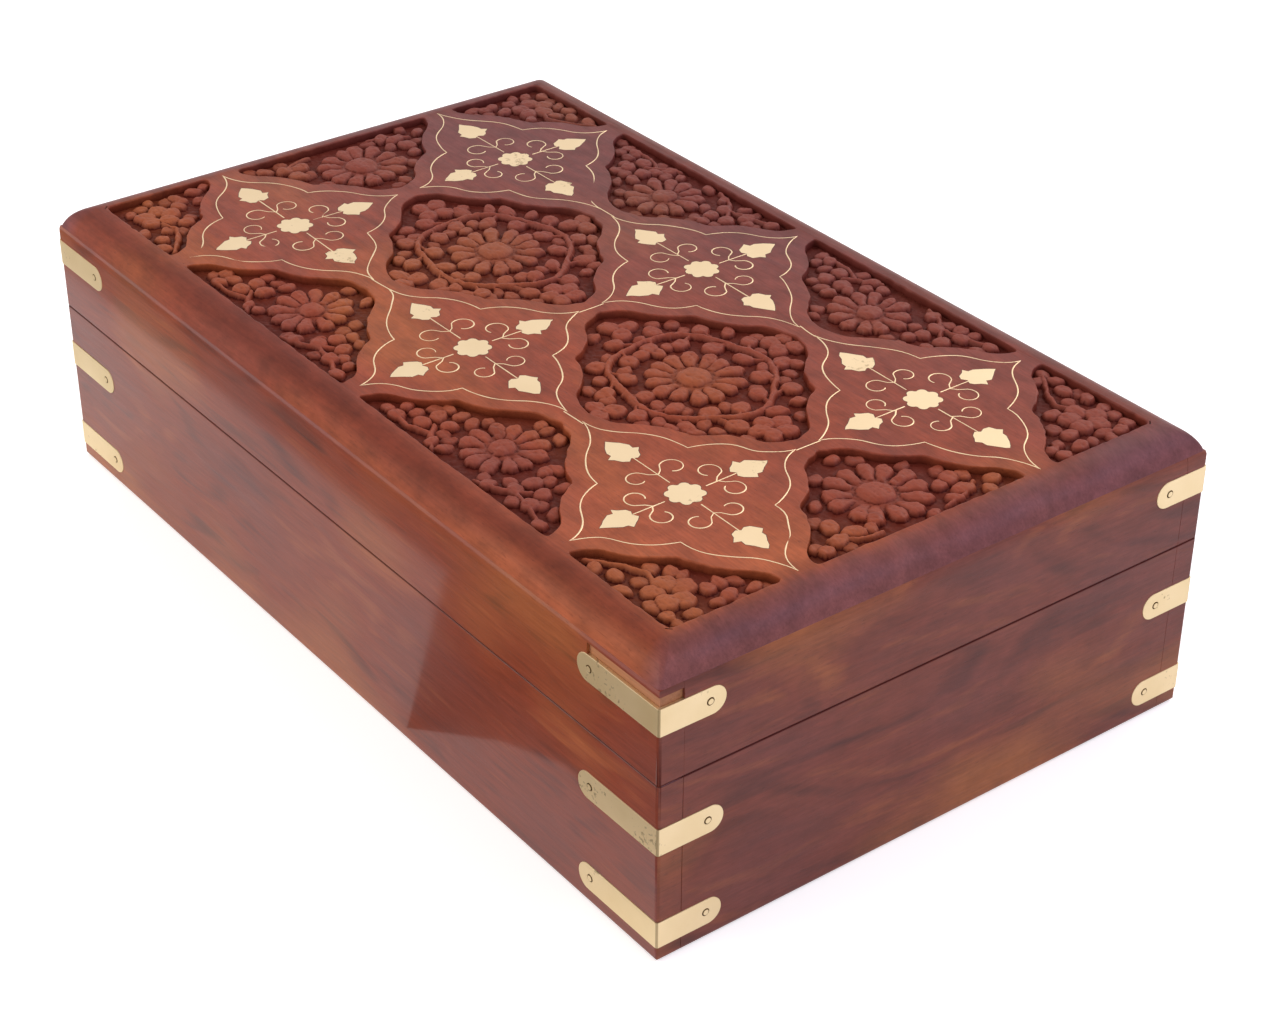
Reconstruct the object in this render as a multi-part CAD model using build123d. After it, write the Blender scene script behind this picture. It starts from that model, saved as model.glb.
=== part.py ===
from build123d import *
from math import cos, pi, radians, sin
import os

# Wooden jewellery box: a lined base and a hinged lid, brass corner straps, and a top
# with carved flower panels between six tiles of brass inlay.
# Millimetres. +X runs along the front to the right, +Y to the back, +Z up.
# The origin is the middle of the underside.

# Whole box
BOX_LENGTH = 254.0
BOX_WIDTH = 153.0
BASE_HEIGHT = 45.4
LID_GAP = 0.2
LID_WALL_HEIGHT = 22.7
TOP_THICKNESS = 6.0
WALL_THICKNESS = 6.3
BULLNOSE_RADIUS = 9.0
FOOT_RADIUS = 1.5
UPRIGHT_ARRIS_RADIUS = 0.9
SEAM_ARRIS_RADIUS = 0.3

# Bottom board, let into a rebate in the walls
BOTTOM_THICKNESS = 4.0
REBATE_DEPTH = 3.0
BOARD_FIT = 0.15

# Velvet lining, glued in
FLOOR_LINING_THICKNESS = 1.2
WALL_LINING_THICKNESS = 1.0
LINING_BELOW_RIM = 1.5

# Brass corner straps, let into grooves
STRAP_HEIGHT = 6.7
STRAP_THICKNESS = 0.9
STRAP_PROUD = 0.12
STRAP_FOLD_RADIUS = 0.7
LID_STRAP_BOTTOM = 57.7
BASE_UPPER_STRAP_BOTTOM = 28.1
BASE_LOWER_STRAP_BOTTOM = 4.0
FRONT_RIGHT_LONG_LEG = 27.0
OTHER_LONG_LEG = 23.0
FRONT_SHORT_LEG = 16.8
BACK_SHORT_LEG = 15.4
WIDE_GROOVE_EXTRA = 2.6
STRAP_PIN_RADIUS = 0.9
STRAP_PIN_LENGTH = 4.6
STRAP_PIN_INSET = 4.0
STRAP_PIN_PROUD = 0.1
PIN_HOLE_FIT = 0.02

# Brass butt hinges on the back edges
HINGE_SPACING = 150.0
HINGE_LENGTH = 25.0
HINGE_LEAF_WIDTH = 5.0
HINGE_LEAF_THICKNESS = 1.0
HINGE_BARREL_RADIUS = 1.9
HINGE_PIN_RADIUS = 0.9
HINGE_RUNNING_FIT = 0.05
HINGE_WOOD_CLEARANCE = 0.2
HINGE_KNUCKLE_GAP = 0.2
SCREW_LENGTH = 8.0
SCREW_SHANK_RADIUS = 0.8
SCREW_HEAD_RADIUS = 1.6
SCREW_HEAD_DEPTH = 0.8
SCREW_POINT_LENGTH = 1.8
SCREW_SPACING = 15.0
SCREW_SLOT_WIDTH = 0.4
SCREW_SLOT_DEPTH = 0.35

# Carved field of the top and the lattice of six inlay tiles in it
CARVED_BORDER = 9.6
TILE_COLUMNS = 3
TILE_ROWS = 2
TILE_END_MARGIN = 0.4
TILE_SIDE_MARGIN = 3.0
TILE_GAP_ALONG = 5.6
TILE_GAP_ACROSS = 6.8
TILE_CUSP_ALONG = 14.4
TILE_CUSP_ACROSS = 12.4
TILE_SWELL_SHARE = 0.55
TILE_SWELL_RISE = 1.5
TILE_LAND = 4.4
POCKET_DEPTH = 2.7
RELIEF_DROP = 0.4

# Brass inlay
INLAY_DEPTH = 1.0
WIRE_WIDTH = 0.5
ROSETTE_CORE_RADIUS = 3.5
ROSETTE_LOBE_RADIUS = 1.2
ROSETTE_LOBES = 8
LEAF_LENGTH = 9.6
LEAF_WIDTH = 8.0
LEAF_START_ALONG = 17.5
LEAF_START_ACROSS = 13.3
STEM_START = 5.4
CURL_RADIUS = 2.5
CURL_SIDE = 4.5
CURL_BRANCH_DROP = 0.6
CURL_BRANCH_RISE = 0.5
CURL_START_ANGLE = 125.0
CURL_SWEEP = 230.0
CURL_ABOVE_ALONG = 10.7
CURL_ABOVE_ACROSS = 9.5

# Right half of an inlay leaf's outline, from its base up, in shares of its width and length
LEAF_HALF_OUTLINE = ((0, 0.08), (0.18, 0), (0.34, 0.1), (0.5, 0.36), (0.34, 0.42), (0.31, 0.62), (0, 1))

# Carved flowers, stems and leaves
ROUND_PANEL_PETALS = 15
ROUND_PANEL_FLOWER_RADIUS = 12.0
ROUND_PANEL_DISC_RADIUS = 4.5
STEM_RING_ALONG = 20.5
STEM_RING_ACROSS = 17.5
STEM_WIDTH = 1.5
RING_LEAVES = 12
SPRAY_LEAF_LENGTH = 5.2
SPRAY_LEAF_WIDTH = 3.6
RING_BUD_PETALS = 5
SPRAY_BUD_PETALS = 3
BUD_PETAL_RADIUS = 1.9
BUD_SPREAD = 2.7
HALF_PANEL_PETALS = 12
HALF_PANEL_FLOWER_RADIUS = 10.5
HALF_PANEL_DISC_RADIUS = 3.4
END_PANEL_FLOWER_RADIUS = 12.0
END_PANEL_DISC_RADIUS = 4.6
FLOWER_TO_EDGE = 14.0
END_FLOWER_TO_EDGE = 15.0
CORNER_FLOWER_INSET = 11.0
CORNER_FLOWER_SPREAD = 3.4
CORNER_PETALS = 5
CORNER_PETAL_RADIUS = 2.7
PETAL_ROOT_SHARE = 0.7
PETAL_CROWDING = 0.62
RING_LEAF_OFFSET = 3.4
RING_LEAF_TURN = 35.0
RING_BUD_OFFSET = 8.0

# Places in a half panel whose straight edge lies on y = 0, with +Y into the panel, and in a
# corner panel towards -X and +Y from the carved field's corner
HALF_PANEL_BUDS = ((17.5, 9.0), (26.0, 4.0))
HALF_PANEL_LEAVES = ((12.0, 4.2, 40.0), (21.5, 3.0, -20.0), (31.5, 2.4, 10.0))
HALF_PANEL_STEM = ((6.0, 1.6), (24.0, 7.0), 1.0)
END_PANEL_BUDS = ((14.5, 6.5), (24.5, 4.5))
END_PANEL_LEAVES = ((16.5, 12.0, 70.0), (19.5, 4.5, 100.0))
END_PANEL_STEM = ((8.0, 2.0), (22.0, 7.5), 1.0)
CORNER_PANEL_LEAVES = ((-22.5, 4.0, 10.0), (-27.0, 2.6, 30.0), (-3.0, 20.0, 80.0), (-17.5, 3.4, -30.0))
CORNER_PANEL_STEM = ((-14.0, 2.0), (-2.0, 13.0), -3.0)

# Sizes that follow from the ones above
HALF_LENGTH = BOX_LENGTH / 2
HALF_WIDTH = BOX_WIDTH / 2
LID_BOTTOM = BASE_HEIGHT + LID_GAP
TOP_BOTTOM = LID_BOTTOM + LID_WALL_HEIGHT
BOX_HEIGHT = TOP_BOTTOM + TOP_THICKNESS
INNER_LENGTH = BOX_LENGTH - 2 * WALL_THICKNESS
INNER_WIDTH = BOX_WIDTH - 2 * WALL_THICKNESS
CARVED_LENGTH = BOX_LENGTH - 2 * CARVED_BORDER
CARVED_WIDTH = BOX_WIDTH - 2 * CARVED_BORDER
TILE_LENGTH = (CARVED_LENGTH - 2 * TILE_END_MARGIN - (TILE_COLUMNS - 1) * TILE_GAP_ALONG) / TILE_COLUMNS
TILE_WIDTH = (CARVED_WIDTH - 2 * TILE_SIDE_MARGIN - (TILE_ROWS - 1) * TILE_GAP_ACROSS) / TILE_ROWS
TILE_PITCH_ALONG = TILE_LENGTH + TILE_GAP_ALONG
TILE_PITCH_ACROSS = TILE_WIDTH + TILE_GAP_ACROSS
HINGE_AXIS_Y = HALF_WIDTH + HINGE_WOOD_CLEARANCE + HINGE_BARREL_RADIUS
HINGE_AXIS_Z = BASE_HEIGHT + LID_GAP / 2
KNUCKLE_LENGTH = (HINGE_LENGTH - 2 * HINGE_KNUCKLE_GAP) / 3

# Corner name: side along X, side along Y, leg along the front or back, leg along the end
CORNERS = {
    "front_left": (-1, -1, OTHER_LONG_LEG, FRONT_SHORT_LEG),
    "front_right": (1, -1, FRONT_RIGHT_LONG_LEG, FRONT_SHORT_LEG),
    "back_left": (-1, 1, OTHER_LONG_LEG, BACK_SHORT_LEG),
    "back_right": (1, 1, OTHER_LONG_LEG, BACK_SHORT_LEG),
}
STRAP_LEVELS = {
    "lid_strap": LID_STRAP_BOTTOM,
    "base_upper_strap": BASE_UPPER_STRAP_BOTTOM,
    "base_lower_strap": BASE_LOWER_STRAP_BOTTOM,
}
HINGES = {"left": -HINGE_SPACING / 2, "right": HINGE_SPACING / 2}

# Finished pieces by name, and what is still to be cut out of some of them
nodes = {}
waste = {}


def in_four_quarters(shape):
    """A shape and its mirror images to the left, behind and both, as a list."""
    beside = mirror(shape, Plane.YZ)
    return [shape, beside, mirror(shape, Plane.XZ), mirror(beside, Plane.XZ)]


# Walls

def block(length, width, height, x, y, z):
    """Rectangular board with its middle at x, y and its underside at z."""
    return Pos(x, y, z + height / 2) * Box(length, width, height)


def end_profile(width, height, lower_radius, upper_radius):
    """Upright section of the box, standing on y = 0, with its long edges rounded."""
    profile = Pos(0, height / 2) * Rectangle(width, height)
    profile = fillet(profile.vertices().sort_by(Axis.Y)[:2], lower_radius)
    return fillet(profile.vertices().sort_by(Axis.Y)[-2:], upper_radius)


def upright_arrises(height):
    """What a rounded upright edge leaves off at each of the four corners."""
    radius = UPRIGHT_ARRIS_RADIUS
    square = Pos(HALF_LENGTH - radius / 2, HALF_WIDTH - radius / 2) * Rectangle(radius, radius)
    sliver = square - Pos(HALF_LENGTH - radius, HALF_WIDTH - radius) * Circle(radius)
    return in_four_quarters(extrude(sliver, height))


def outer_shape(bottom, height, lower_radius, upper_radius):
    """Solid outside of the base or lid: rounded edges that mitre, and softened uprights."""
    across = end_profile(BOX_WIDTH, height, lower_radius, upper_radius)
    along = end_profile(BOX_LENGTH, height, lower_radius, upper_radius)
    shape = extrude(Plane.YZ * across, HALF_LENGTH, both=True)
    shape &= extrude(Plane.XZ * along, HALF_WIDTH, both=True)
    shape -= upright_arrises(height)
    return Pos(0, 0, bottom) * shape


def four_walls(prefix, bottom, height, outside):
    """Front and back boards of full length, with the end boards butted between them."""
    wall_y = HALF_WIDTH - WALL_THICKNESS / 2
    wall_x = HALF_LENGTH - WALL_THICKNESS / 2
    for name, side in (("front", -1), ("back", 1)):
        board = block(BOX_LENGTH, WALL_THICKNESS, height, 0, side * wall_y, bottom)
        nodes[f"{prefix}_{name}_wall"] = board & outside
    for name, side in (("left", -1), ("right", 1)):
        board = block(WALL_THICKNESS, INNER_WIDTH, height, side * wall_x, 0, bottom)
        nodes[f"{prefix}_{name}_wall"] = board & outside


def cut(tool, *names):
    """Note one shape as waste of each named piece."""
    for name in names:
        waste.setdefault(name, []).append(tool)


def take_out_waste():
    """Cut each piece's grooves, recesses and holes, all at once."""
    for name, tools in waste.items():
        nodes[name] = nodes[name] - tools


# Corner straps and their pins

def strap_leg(plane, reach, depth):
    """Flat leg back from the corner along the plane's first axis, with a round end."""
    straight = reach - STRAP_HEIGHT / 2
    outline = Pos(-straight / 2, STRAP_HEIGHT / 2) * Rectangle(straight, STRAP_HEIGHT)
    outline += Pos(-straight, STRAP_HEIGHT / 2) * Circle(STRAP_HEIGHT / 2)
    return extrude(plane * outline, depth)


def strap_blank(long_leg, short_leg):
    """Strap folded round a corner at the origin, with legs along -X and -Y, without holes."""
    blank = strap_leg(Plane.XZ, long_leg, STRAP_THICKNESS)
    blank += strap_leg(Plane.YZ, short_leg, -STRAP_THICKNESS)
    fold = blank.edges().filter_by(Axis.Z).sort_by_distance((0, 0, STRAP_HEIGHT / 2))[0]
    return fillet(fold, STRAP_FOLD_RADIUS)


def pin_pair(long_leg, short_leg, radius):
    """One round pin through each leg of a strap at the origin."""
    length = STRAP_PIN_PROUD + STRAP_PIN_LENGTH
    depth = length / 2 - STRAP_PIN_PROUD
    height = STRAP_HEIGHT / 2
    first = Pos(-(long_leg - STRAP_PIN_INSET), -depth, height) * Rot(90, 0, 0) * Cylinder(radius, length)
    second = Pos(-depth, -(short_leg - STRAP_PIN_INSET), height) * Rot(0, 90, 0) * Cylinder(radius, length)
    return [first, second]


def at_corner(shape, side_x, side_y, bottom):
    """Move a shape made for the corner at the origin to one corner of the box."""
    if side_x < 0:
        shape = mirror(shape, Plane.YZ)
    if side_y < 0:
        shape = mirror(shape, Plane.XZ)
    reach_x = HALF_LENGTH + STRAP_PROUD
    reach_y = HALF_WIDTH + STRAP_PROUD
    return Pos(side_x * reach_x, side_y * reach_y, bottom) * shape


def fit_straps(level, prefix):
    """Straps of one level at the four corners, their grooves and holes, and their pins."""
    bottom = STRAP_LEVELS[level]
    pins = []
    for corner, (side_x, side_y, long_leg, short_leg) in CORNERS.items():
        long_wall = f"{prefix}_{'front' if side_y < 0 else 'back'}_wall"
        end_wall = f"{prefix}_{'left' if side_x < 0 else 'right'}_wall"
        strap = at_corner(strap_blank(long_leg, short_leg), side_x, side_y, bottom)
        cut(strap, long_wall, end_wall)
        holes = pin_pair(long_leg, short_leg, STRAP_PIN_RADIUS + PIN_HOLE_FIT)
        holes = [at_corner(hole, side_x, side_y, bottom) for hole in holes]
        cut(holes[0], long_wall)
        cut(holes[1], end_wall)
        nodes[f"{level}_{corner}"] = strap - holes
        for pin in pin_pair(long_leg, short_leg, STRAP_PIN_RADIUS):
            pins.append(at_corner(pin, side_x, side_y, bottom))
    nodes[f"{level}_pins"] = Compound(children=pins)


def wide_groove():
    """Part of the front wall's groove that was cut too high, above the lid's front right strap."""
    length = FRONT_RIGHT_LONG_LEG - STRAP_HEIGHT / 2
    depth = STRAP_THICKNESS - STRAP_PROUD
    bottom = LID_STRAP_BOTTOM + STRAP_HEIGHT
    along_x = HALF_LENGTH - length / 2
    front = block(length, depth, WIDE_GROOVE_EXTRA, along_x, -HALF_WIDTH + depth / 2, bottom)
    along_y = -HALF_WIDTH + WALL_THICKNESS / 2
    end = block(depth, WALL_THICKNESS, WIDE_GROOVE_EXTRA, HALF_LENGTH - depth / 2, along_y, bottom)
    return front + end


# Hinges

def barrel(radius, start, length):
    """Round bar along X on the hinge axis, from the given start."""
    return Pos(start + length / 2, HINGE_AXIS_Y, HINGE_AXIS_Z) * Rot(0, 90, 0) * Cylinder(radius, length)


def leaf_blank(centre_x, side):
    """Leaf and knuckles of one half of a hinge: side is -1 for the base and 1 for the lid."""
    low = BASE_HEIGHT - HINGE_LEAF_THICKNESS if side < 0 else LID_BOTTOM
    leaf_y = HALF_WIDTH - HINGE_LEAF_WIDTH / 2
    leaf = block(HINGE_LENGTH, HINGE_LEAF_WIDTH, HINGE_LEAF_THICKNESS, centre_x, leaf_y, low)
    step = KNUCKLE_LENGTH + HINGE_KNUCKLE_GAP
    first = centre_x - HINGE_LENGTH / 2
    for index in (0, 2) if side < 0 else (1,):
        start = first + index * step
        web_depth = HINGE_AXIS_Y - HALF_WIDTH
        web_x = start + KNUCKLE_LENGTH / 2
        web_y = HALF_WIDTH + web_depth / 2
        leaf += block(KNUCKLE_LENGTH, web_depth, HINGE_LEAF_THICKNESS, web_x, web_y, low)
        leaf += barrel(HINGE_BARREL_RADIUS, start, KNUCKLE_LENGTH)
    bore = barrel(HINGE_PIN_RADIUS + HINGE_RUNNING_FIT, first, HINGE_LENGTH)
    return leaf - bore


def wood_screw():
    """Countersunk screw with its head's face at the origin and its point down -Z."""
    tip = -SCREW_LENGTH
    shoulder = tip + SCREW_POINT_LENGTH
    half_section = Polyline(
        (0, 0), (SCREW_HEAD_RADIUS, 0), (SCREW_SHANK_RADIUS, -SCREW_HEAD_DEPTH),
        (SCREW_SHANK_RADIUS, shoulder), (0, tip), close=True,
    )
    return revolve(Plane.XZ * make_face(half_section), Axis.Z)


def fit_hinge_half(prefix, side):
    """Both leaves of the base or lid with their screws, and the recesses and holes for them."""
    wall = f"{prefix}_back_wall"
    surface = BASE_HEIGHT if side < 0 else LID_BOTTOM
    screws = []
    for name, centre_x in HINGES.items():
        leaf = leaf_blank(centre_x, side)
        cut(leaf, wall)
        for offset in (-SCREW_SPACING / 2, SCREW_SPACING / 2):
            screw = wood_screw() if side < 0 else Rot(180, 0, 0) * wood_screw()
            place = Pos(centre_x + offset, HALF_WIDTH - HINGE_LEAF_WIDTH / 2, surface)
            slot = Box(2 * SCREW_HEAD_RADIUS, SCREW_SLOT_WIDTH, 2 * SCREW_SLOT_DEPTH)
            leaf -= place * screw
            cut(place * screw, wall)
            screws.append(place * (screw - slot))
        nodes[f"{prefix}_hinge_leaf_{name}"] = leaf
    nodes[f"{prefix}_hinge_screws"] = Compound(children=screws)


def fit_hinge_pins():
    """Loose pin of each hinge, held by the base knuckles."""
    for name, centre_x in HINGES.items():
        nodes[f"hinge_pin_{name}"] = barrel(HINGE_PIN_RADIUS, centre_x - HINGE_LENGTH / 2, HINGE_LENGTH)


# Bottom board and lining

def fit_bottom():
    """Bottom board in its rebate, flush with the walls' lower edges."""
    length = INNER_LENGTH + 2 * REBATE_DEPTH
    width = INNER_WIDTH + 2 * REBATE_DEPTH
    rebate = block(length, width, BOTTOM_THICKNESS, 0, 0, 0)
    cut(rebate, "base_front_wall", "base_back_wall", "base_left_wall", "base_right_wall")
    board = block(length - 2 * BOARD_FIT, width - 2 * BOARD_FIT, BOTTOM_THICKNESS, 0, 0, 0)
    nodes["base_bottom_board"] = board


def fit_lining(prefix, flat_bottom, wall_bottom, wall_height):
    """Flat lining of the floor or ceiling, and one strip against each wall."""
    nodes[f"{prefix}_flat_lining"] = block(
        INNER_LENGTH, INNER_WIDTH, FLOOR_LINING_THICKNESS, 0, 0, flat_bottom)
    strip_y = INNER_WIDTH / 2 - WALL_LINING_THICKNESS / 2
    strip_x = INNER_LENGTH / 2 - WALL_LINING_THICKNESS / 2
    end_length = INNER_WIDTH - 2 * WALL_LINING_THICKNESS
    for name, side in (("front", -1), ("back", 1)):
        nodes[f"{prefix}_{name}_lining"] = block(
            INNER_LENGTH, WALL_LINING_THICKNESS, wall_height, 0, side * strip_y, wall_bottom)
    for name, side in (("left", -1), ("right", 1)):
        nodes[f"{prefix}_{name}_lining"] = block(
            WALL_LINING_THICKNESS, end_length, wall_height, side * strip_x, 0, wall_bottom)


# Flat outlines of the inlay, each made in a tile centred on the origin

def bowed_edges(start, end, rise, width):
    """Both long edges of a strip along an arc that bows to the left of its chord by rise."""
    start = Vector(*start)
    end = Vector(*end)
    chord = end - start
    left = Vector(-chord.Y, chord.X).normalized()
    middle = (start + end) / 2 + left * rise
    radius = (chord.length ** 2 / 4 + rise ** 2) / (2 * rise)
    centre = middle - left * radius
    sides = []
    for shift in (width / 2, -width / 2):
        through = [point + (point - centre).normalized() * shift for point in (start, middle, end)]
        sides.append(ThreePointArc(*through))
    return sides


def bowed_strip(start, end, rise, width):
    """Flat strip of even width along a bowed arc."""
    outer, inner = bowed_edges(start, end, rise, width)
    return make_face([outer, Line(outer @ 1, inner @ 1), inner, Line(inner @ 0, outer @ 0)])


def tile_side_points(tip):
    """Cusp, point where the swell turns into the flare, and tip of one side of a tile."""
    cusp = (TILE_CUSP_ALONG, TILE_CUSP_ACROSS)
    turn = tuple(c + TILE_SWELL_SHARE * (t - c) for c, t in zip(cusp, tip))
    return cusp, turn, tip


def tile_sides():
    """Both bows of each of the two sides in the tile's first quarter: start, end and rise."""
    dip = TILE_SWELL_RISE * (1 - TILE_SWELL_SHARE) / TILE_SWELL_SHARE
    bows = []
    for tip, turn_side in (((TILE_LENGTH / 2, 0), 1), ((0, TILE_WIDTH / 2), -1)):
        cusp, turn, tip = tile_side_points(tip)
        bows.append((cusp, turn, turn_side * TILE_SWELL_RISE))
        bows.append((turn, tip, -turn_side * dip))
    return bows


def tile_face():
    """Whole brace-shaped tile, out to the middle of its outline wire."""
    arcs = []
    for start, end, rise in tile_sides():
        arcs.append(bowed_edges(start, end, rise, 0)[0])
    quarter = make_face(arcs + [Line((0, TILE_WIDTH / 2), (0, 0)), Line((0, 0), (TILE_LENGTH / 2, 0))])
    return Sketch() + in_four_quarters(quarter)


def outline_wires():
    """Four bent wires that outline one tile, each cut square where it meets the next."""
    quarter = Sketch() + [bowed_strip(start, end, rise, WIRE_WIDTH) for start, end, rise in tile_sides()]
    window = Pos(TILE_LENGTH / 4, TILE_WIDTH / 4) * Rectangle(TILE_LENGTH / 2, TILE_WIDTH / 2)
    return in_four_quarters(quarter & window)


def leaf_outline():
    """Ivy leaf that points up from its base at the origin."""
    half = [(across * LEAF_WIDTH, along * LEAF_LENGTH) for across, along in LEAF_HALF_OUTLINE]
    return make_face(Polyline(*half, *[(-x, y) for x, y in half[-2:0:-1]], close=True))


def rosette_outline():
    """Round flower with small lobes."""
    lobes = [place * Circle(ROSETTE_LOBE_RADIUS) for place in PolarLocations(ROSETTE_CORE_RADIUS, ROSETTE_LOBES)]
    return Circle(ROSETTE_CORE_RADIUS) + lobes


def scroll_outline(stem_end, curl_above):
    """Stem up +Y with a curl on each side that turns back towards the tile's middle."""
    stem = Pos(0, (STEM_START + stem_end) / 2) * Rectangle(WIRE_WIDTH, stem_end - STEM_START)
    centre = (CURL_SIDE, curl_above)
    join = (
        CURL_SIDE + CURL_RADIUS * cos(radians(CURL_START_ANGLE)),
        curl_above + CURL_RADIUS * sin(radians(CURL_START_ANGLE)),
    )
    branch = bowed_strip((0, curl_above - CURL_BRANCH_DROP), join, CURL_BRANCH_RISE, WIRE_WIDTH)
    outer = CenterArc(centre, CURL_RADIUS + WIRE_WIDTH / 2, CURL_START_ANGLE, -CURL_SWEEP)
    inner = CenterArc(centre, CURL_RADIUS - WIRE_WIDTH / 2, CURL_START_ANGLE, -CURL_SWEEP)
    loop = make_face([outer, Line(outer @ 1, inner @ 1), inner, Line(inner @ 0, outer @ 0)])
    curl = loop + branch
    return stem + curl + mirror(curl, Plane.YZ)


def tile_centres():
    """Middle of each inlay tile."""
    centres = []
    for column in range(TILE_COLUMNS):
        for row in range(TILE_ROWS):
            x = (column - (TILE_COLUMNS - 1) / 2) * TILE_PITCH_ALONG
            y = (row - (TILE_ROWS - 1) / 2) * TILE_PITCH_ACROSS
            centres.append((x, y))
    return centres


def link_wires():
    """Short straight wires that join the tips of neighbouring tiles."""
    links = []
    for x, y in tile_centres():
        if x + TILE_PITCH_ALONG < HALF_LENGTH:
            links.append(Pos(x + TILE_PITCH_ALONG / 2, y) * Rectangle(TILE_GAP_ALONG, WIRE_WIDTH))
        if y + TILE_PITCH_ACROSS < HALF_WIDTH:
            links.append(Pos(x, y + TILE_PITCH_ACROSS / 2) * Rectangle(WIRE_WIDTH, TILE_GAP_ACROSS))
    return links


def tile_inlay():
    """Flat outlines of one tile's inlay, by the name of the piece that they belong to."""
    leaf = leaf_outline()
    scroll_along = scroll_outline(LEAF_START_ALONG, CURL_ABOVE_ALONG)
    scroll_across = scroll_outline(LEAF_START_ACROSS, CURL_ABOVE_ACROSS)
    leaves = []
    scrolls = []
    for turn in (0, 180):
        scrolls.append(Rot(0, 0, turn) * scroll_across)
        scrolls.append(Rot(0, 0, turn - 90) * scroll_along)
        leaves.append(Rot(0, 0, turn) * Pos(0, LEAF_START_ACROSS) * leaf)
        leaves.append(Rot(0, 0, turn - 90) * Pos(0, LEAF_START_ALONG) * leaf)
    return {
        "inlay_outline_wires": outline_wires(),
        "inlay_scroll_wires": scrolls,
        "inlay_leaves": leaves,
        "inlay_rosettes": [rosette_outline()],
    }


def inlay_solids():
    """All the inlay pieces of the top, by node name, let in flush with its face."""
    outlines = {}
    for name, faces in tile_inlay().items():
        outlines[name] = [Pos(x, y) * face for x, y in tile_centres() for face in faces]
    outlines["inlay_link_wires"] = link_wires()
    solids = {}
    for name, faces in outlines.items():
        solids[name] = [extrude(Pos(0, 0, BOX_HEIGHT) * face, -INLAY_DEPTH) for face in faces]
    return solids


# Flat outlines of the carving, which stands in the pockets between the tiles

def daisy(count, flower_radius, disc_radius):
    """Round disc inside a ring of petals."""
    petal_length = flower_radius - PETAL_ROOT_SHARE * disc_radius
    petal_width = PETAL_CROWDING * 2 * pi * flower_radius / count
    petal = Pos(flower_radius - petal_length / 2, 0) * SlotOverall(petal_length, petal_width)
    petals = [Rot(0, 0, 360 * index / count) * petal for index in range(count)]
    return [Circle(disc_radius)] + petals


def bud(petals, turn=0, spread=BUD_SPREAD, petal_radius=BUD_PETAL_RADIUS):
    """Small flower of round petals, the first one turned from +X by the given degrees."""
    places = PolarLocations(spread, petals, start_angle=turn)
    return [place * Circle(petal_radius) for place in places]


def round_panel():
    """Daisy in a ring of leafy stem, with a small flower in each of the four points."""
    shapes = daisy(ROUND_PANEL_PETALS, ROUND_PANEL_FLOWER_RADIUS, ROUND_PANEL_DISC_RADIUS)
    half_stem = STEM_WIDTH / 2
    ring = Ellipse(STEM_RING_ALONG + half_stem, STEM_RING_ACROSS + half_stem)
    ring -= Ellipse(STEM_RING_ALONG - half_stem, STEM_RING_ACROSS - half_stem)
    shapes.append(ring)
    for index in range(RING_LEAVES):
        for side, offset in ((-1, 0), (1, 0.5)):
            angle = 360 * (index + offset) / RING_LEAVES
            reach = side * RING_LEAF_OFFSET
            x = (STEM_RING_ALONG + reach) * cos(radians(angle))
            y = (STEM_RING_ACROSS + reach) * sin(radians(angle))
            shapes.append(Pos(x, y) * Rot(0, 0, angle + side * RING_LEAF_TURN) * spray_leaf())
    for turn, reach in ((0, STEM_RING_ALONG), (90, STEM_RING_ACROSS)):
        for half_turn in (0, 180):
            place = Rot(0, 0, turn + half_turn) * Pos(reach + RING_BUD_OFFSET, 0)
            shapes += [place * petal for petal in bud(RING_BUD_PETALS)]
    return shapes


def spray_leaf():
    """Small pointed-oval leaf along X."""
    tip = (SPRAY_LEAF_LENGTH / 2, 0)
    heel = (-SPRAY_LEAF_LENGTH / 2, 0)
    upper = ThreePointArc(heel, (0, SPRAY_LEAF_WIDTH / 2), tip)
    lower = ThreePointArc(tip, (0, -SPRAY_LEAF_WIDTH / 2), heel)
    return make_face([upper, lower])


def side_sprays(buds, leaves, stem):
    """Stem, leaves and three-petalled flowers on both sides of a half panel's daisy."""
    start, end, rise = stem
    half = [bowed_strip(start, end, rise, STEM_WIDTH)]
    for x, y in buds:
        half += [Pos(x, y) * petal for petal in bud(SPRAY_BUD_PETALS, turn=90)]
    for x, y, turn in leaves:
        half.append(Pos(x, y) * Rot(0, 0, turn) * spray_leaf())
    return half + [mirror(shape, Plane.YZ) for shape in half]


def half_panel():
    """Daisy and sprays of a front panel, with its straight edge on y = 0 below it."""
    daisy_shapes = daisy(HALF_PANEL_PETALS, HALF_PANEL_FLOWER_RADIUS, HALF_PANEL_DISC_RADIUS)
    shapes = [Pos(0, FLOWER_TO_EDGE) * shape for shape in daisy_shapes]
    return shapes + side_sprays(HALF_PANEL_BUDS, HALF_PANEL_LEAVES, HALF_PANEL_STEM)


def end_panel():
    """Daisy and sprays of an end panel, with its straight edge on y = 0 below it."""
    daisy_shapes = daisy(HALF_PANEL_PETALS, END_PANEL_FLOWER_RADIUS, END_PANEL_DISC_RADIUS)
    shapes = [Pos(0, END_FLOWER_TO_EDGE) * shape for shape in daisy_shapes]
    return shapes + side_sprays(END_PANEL_BUDS, END_PANEL_LEAVES, END_PANEL_STEM)


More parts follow.
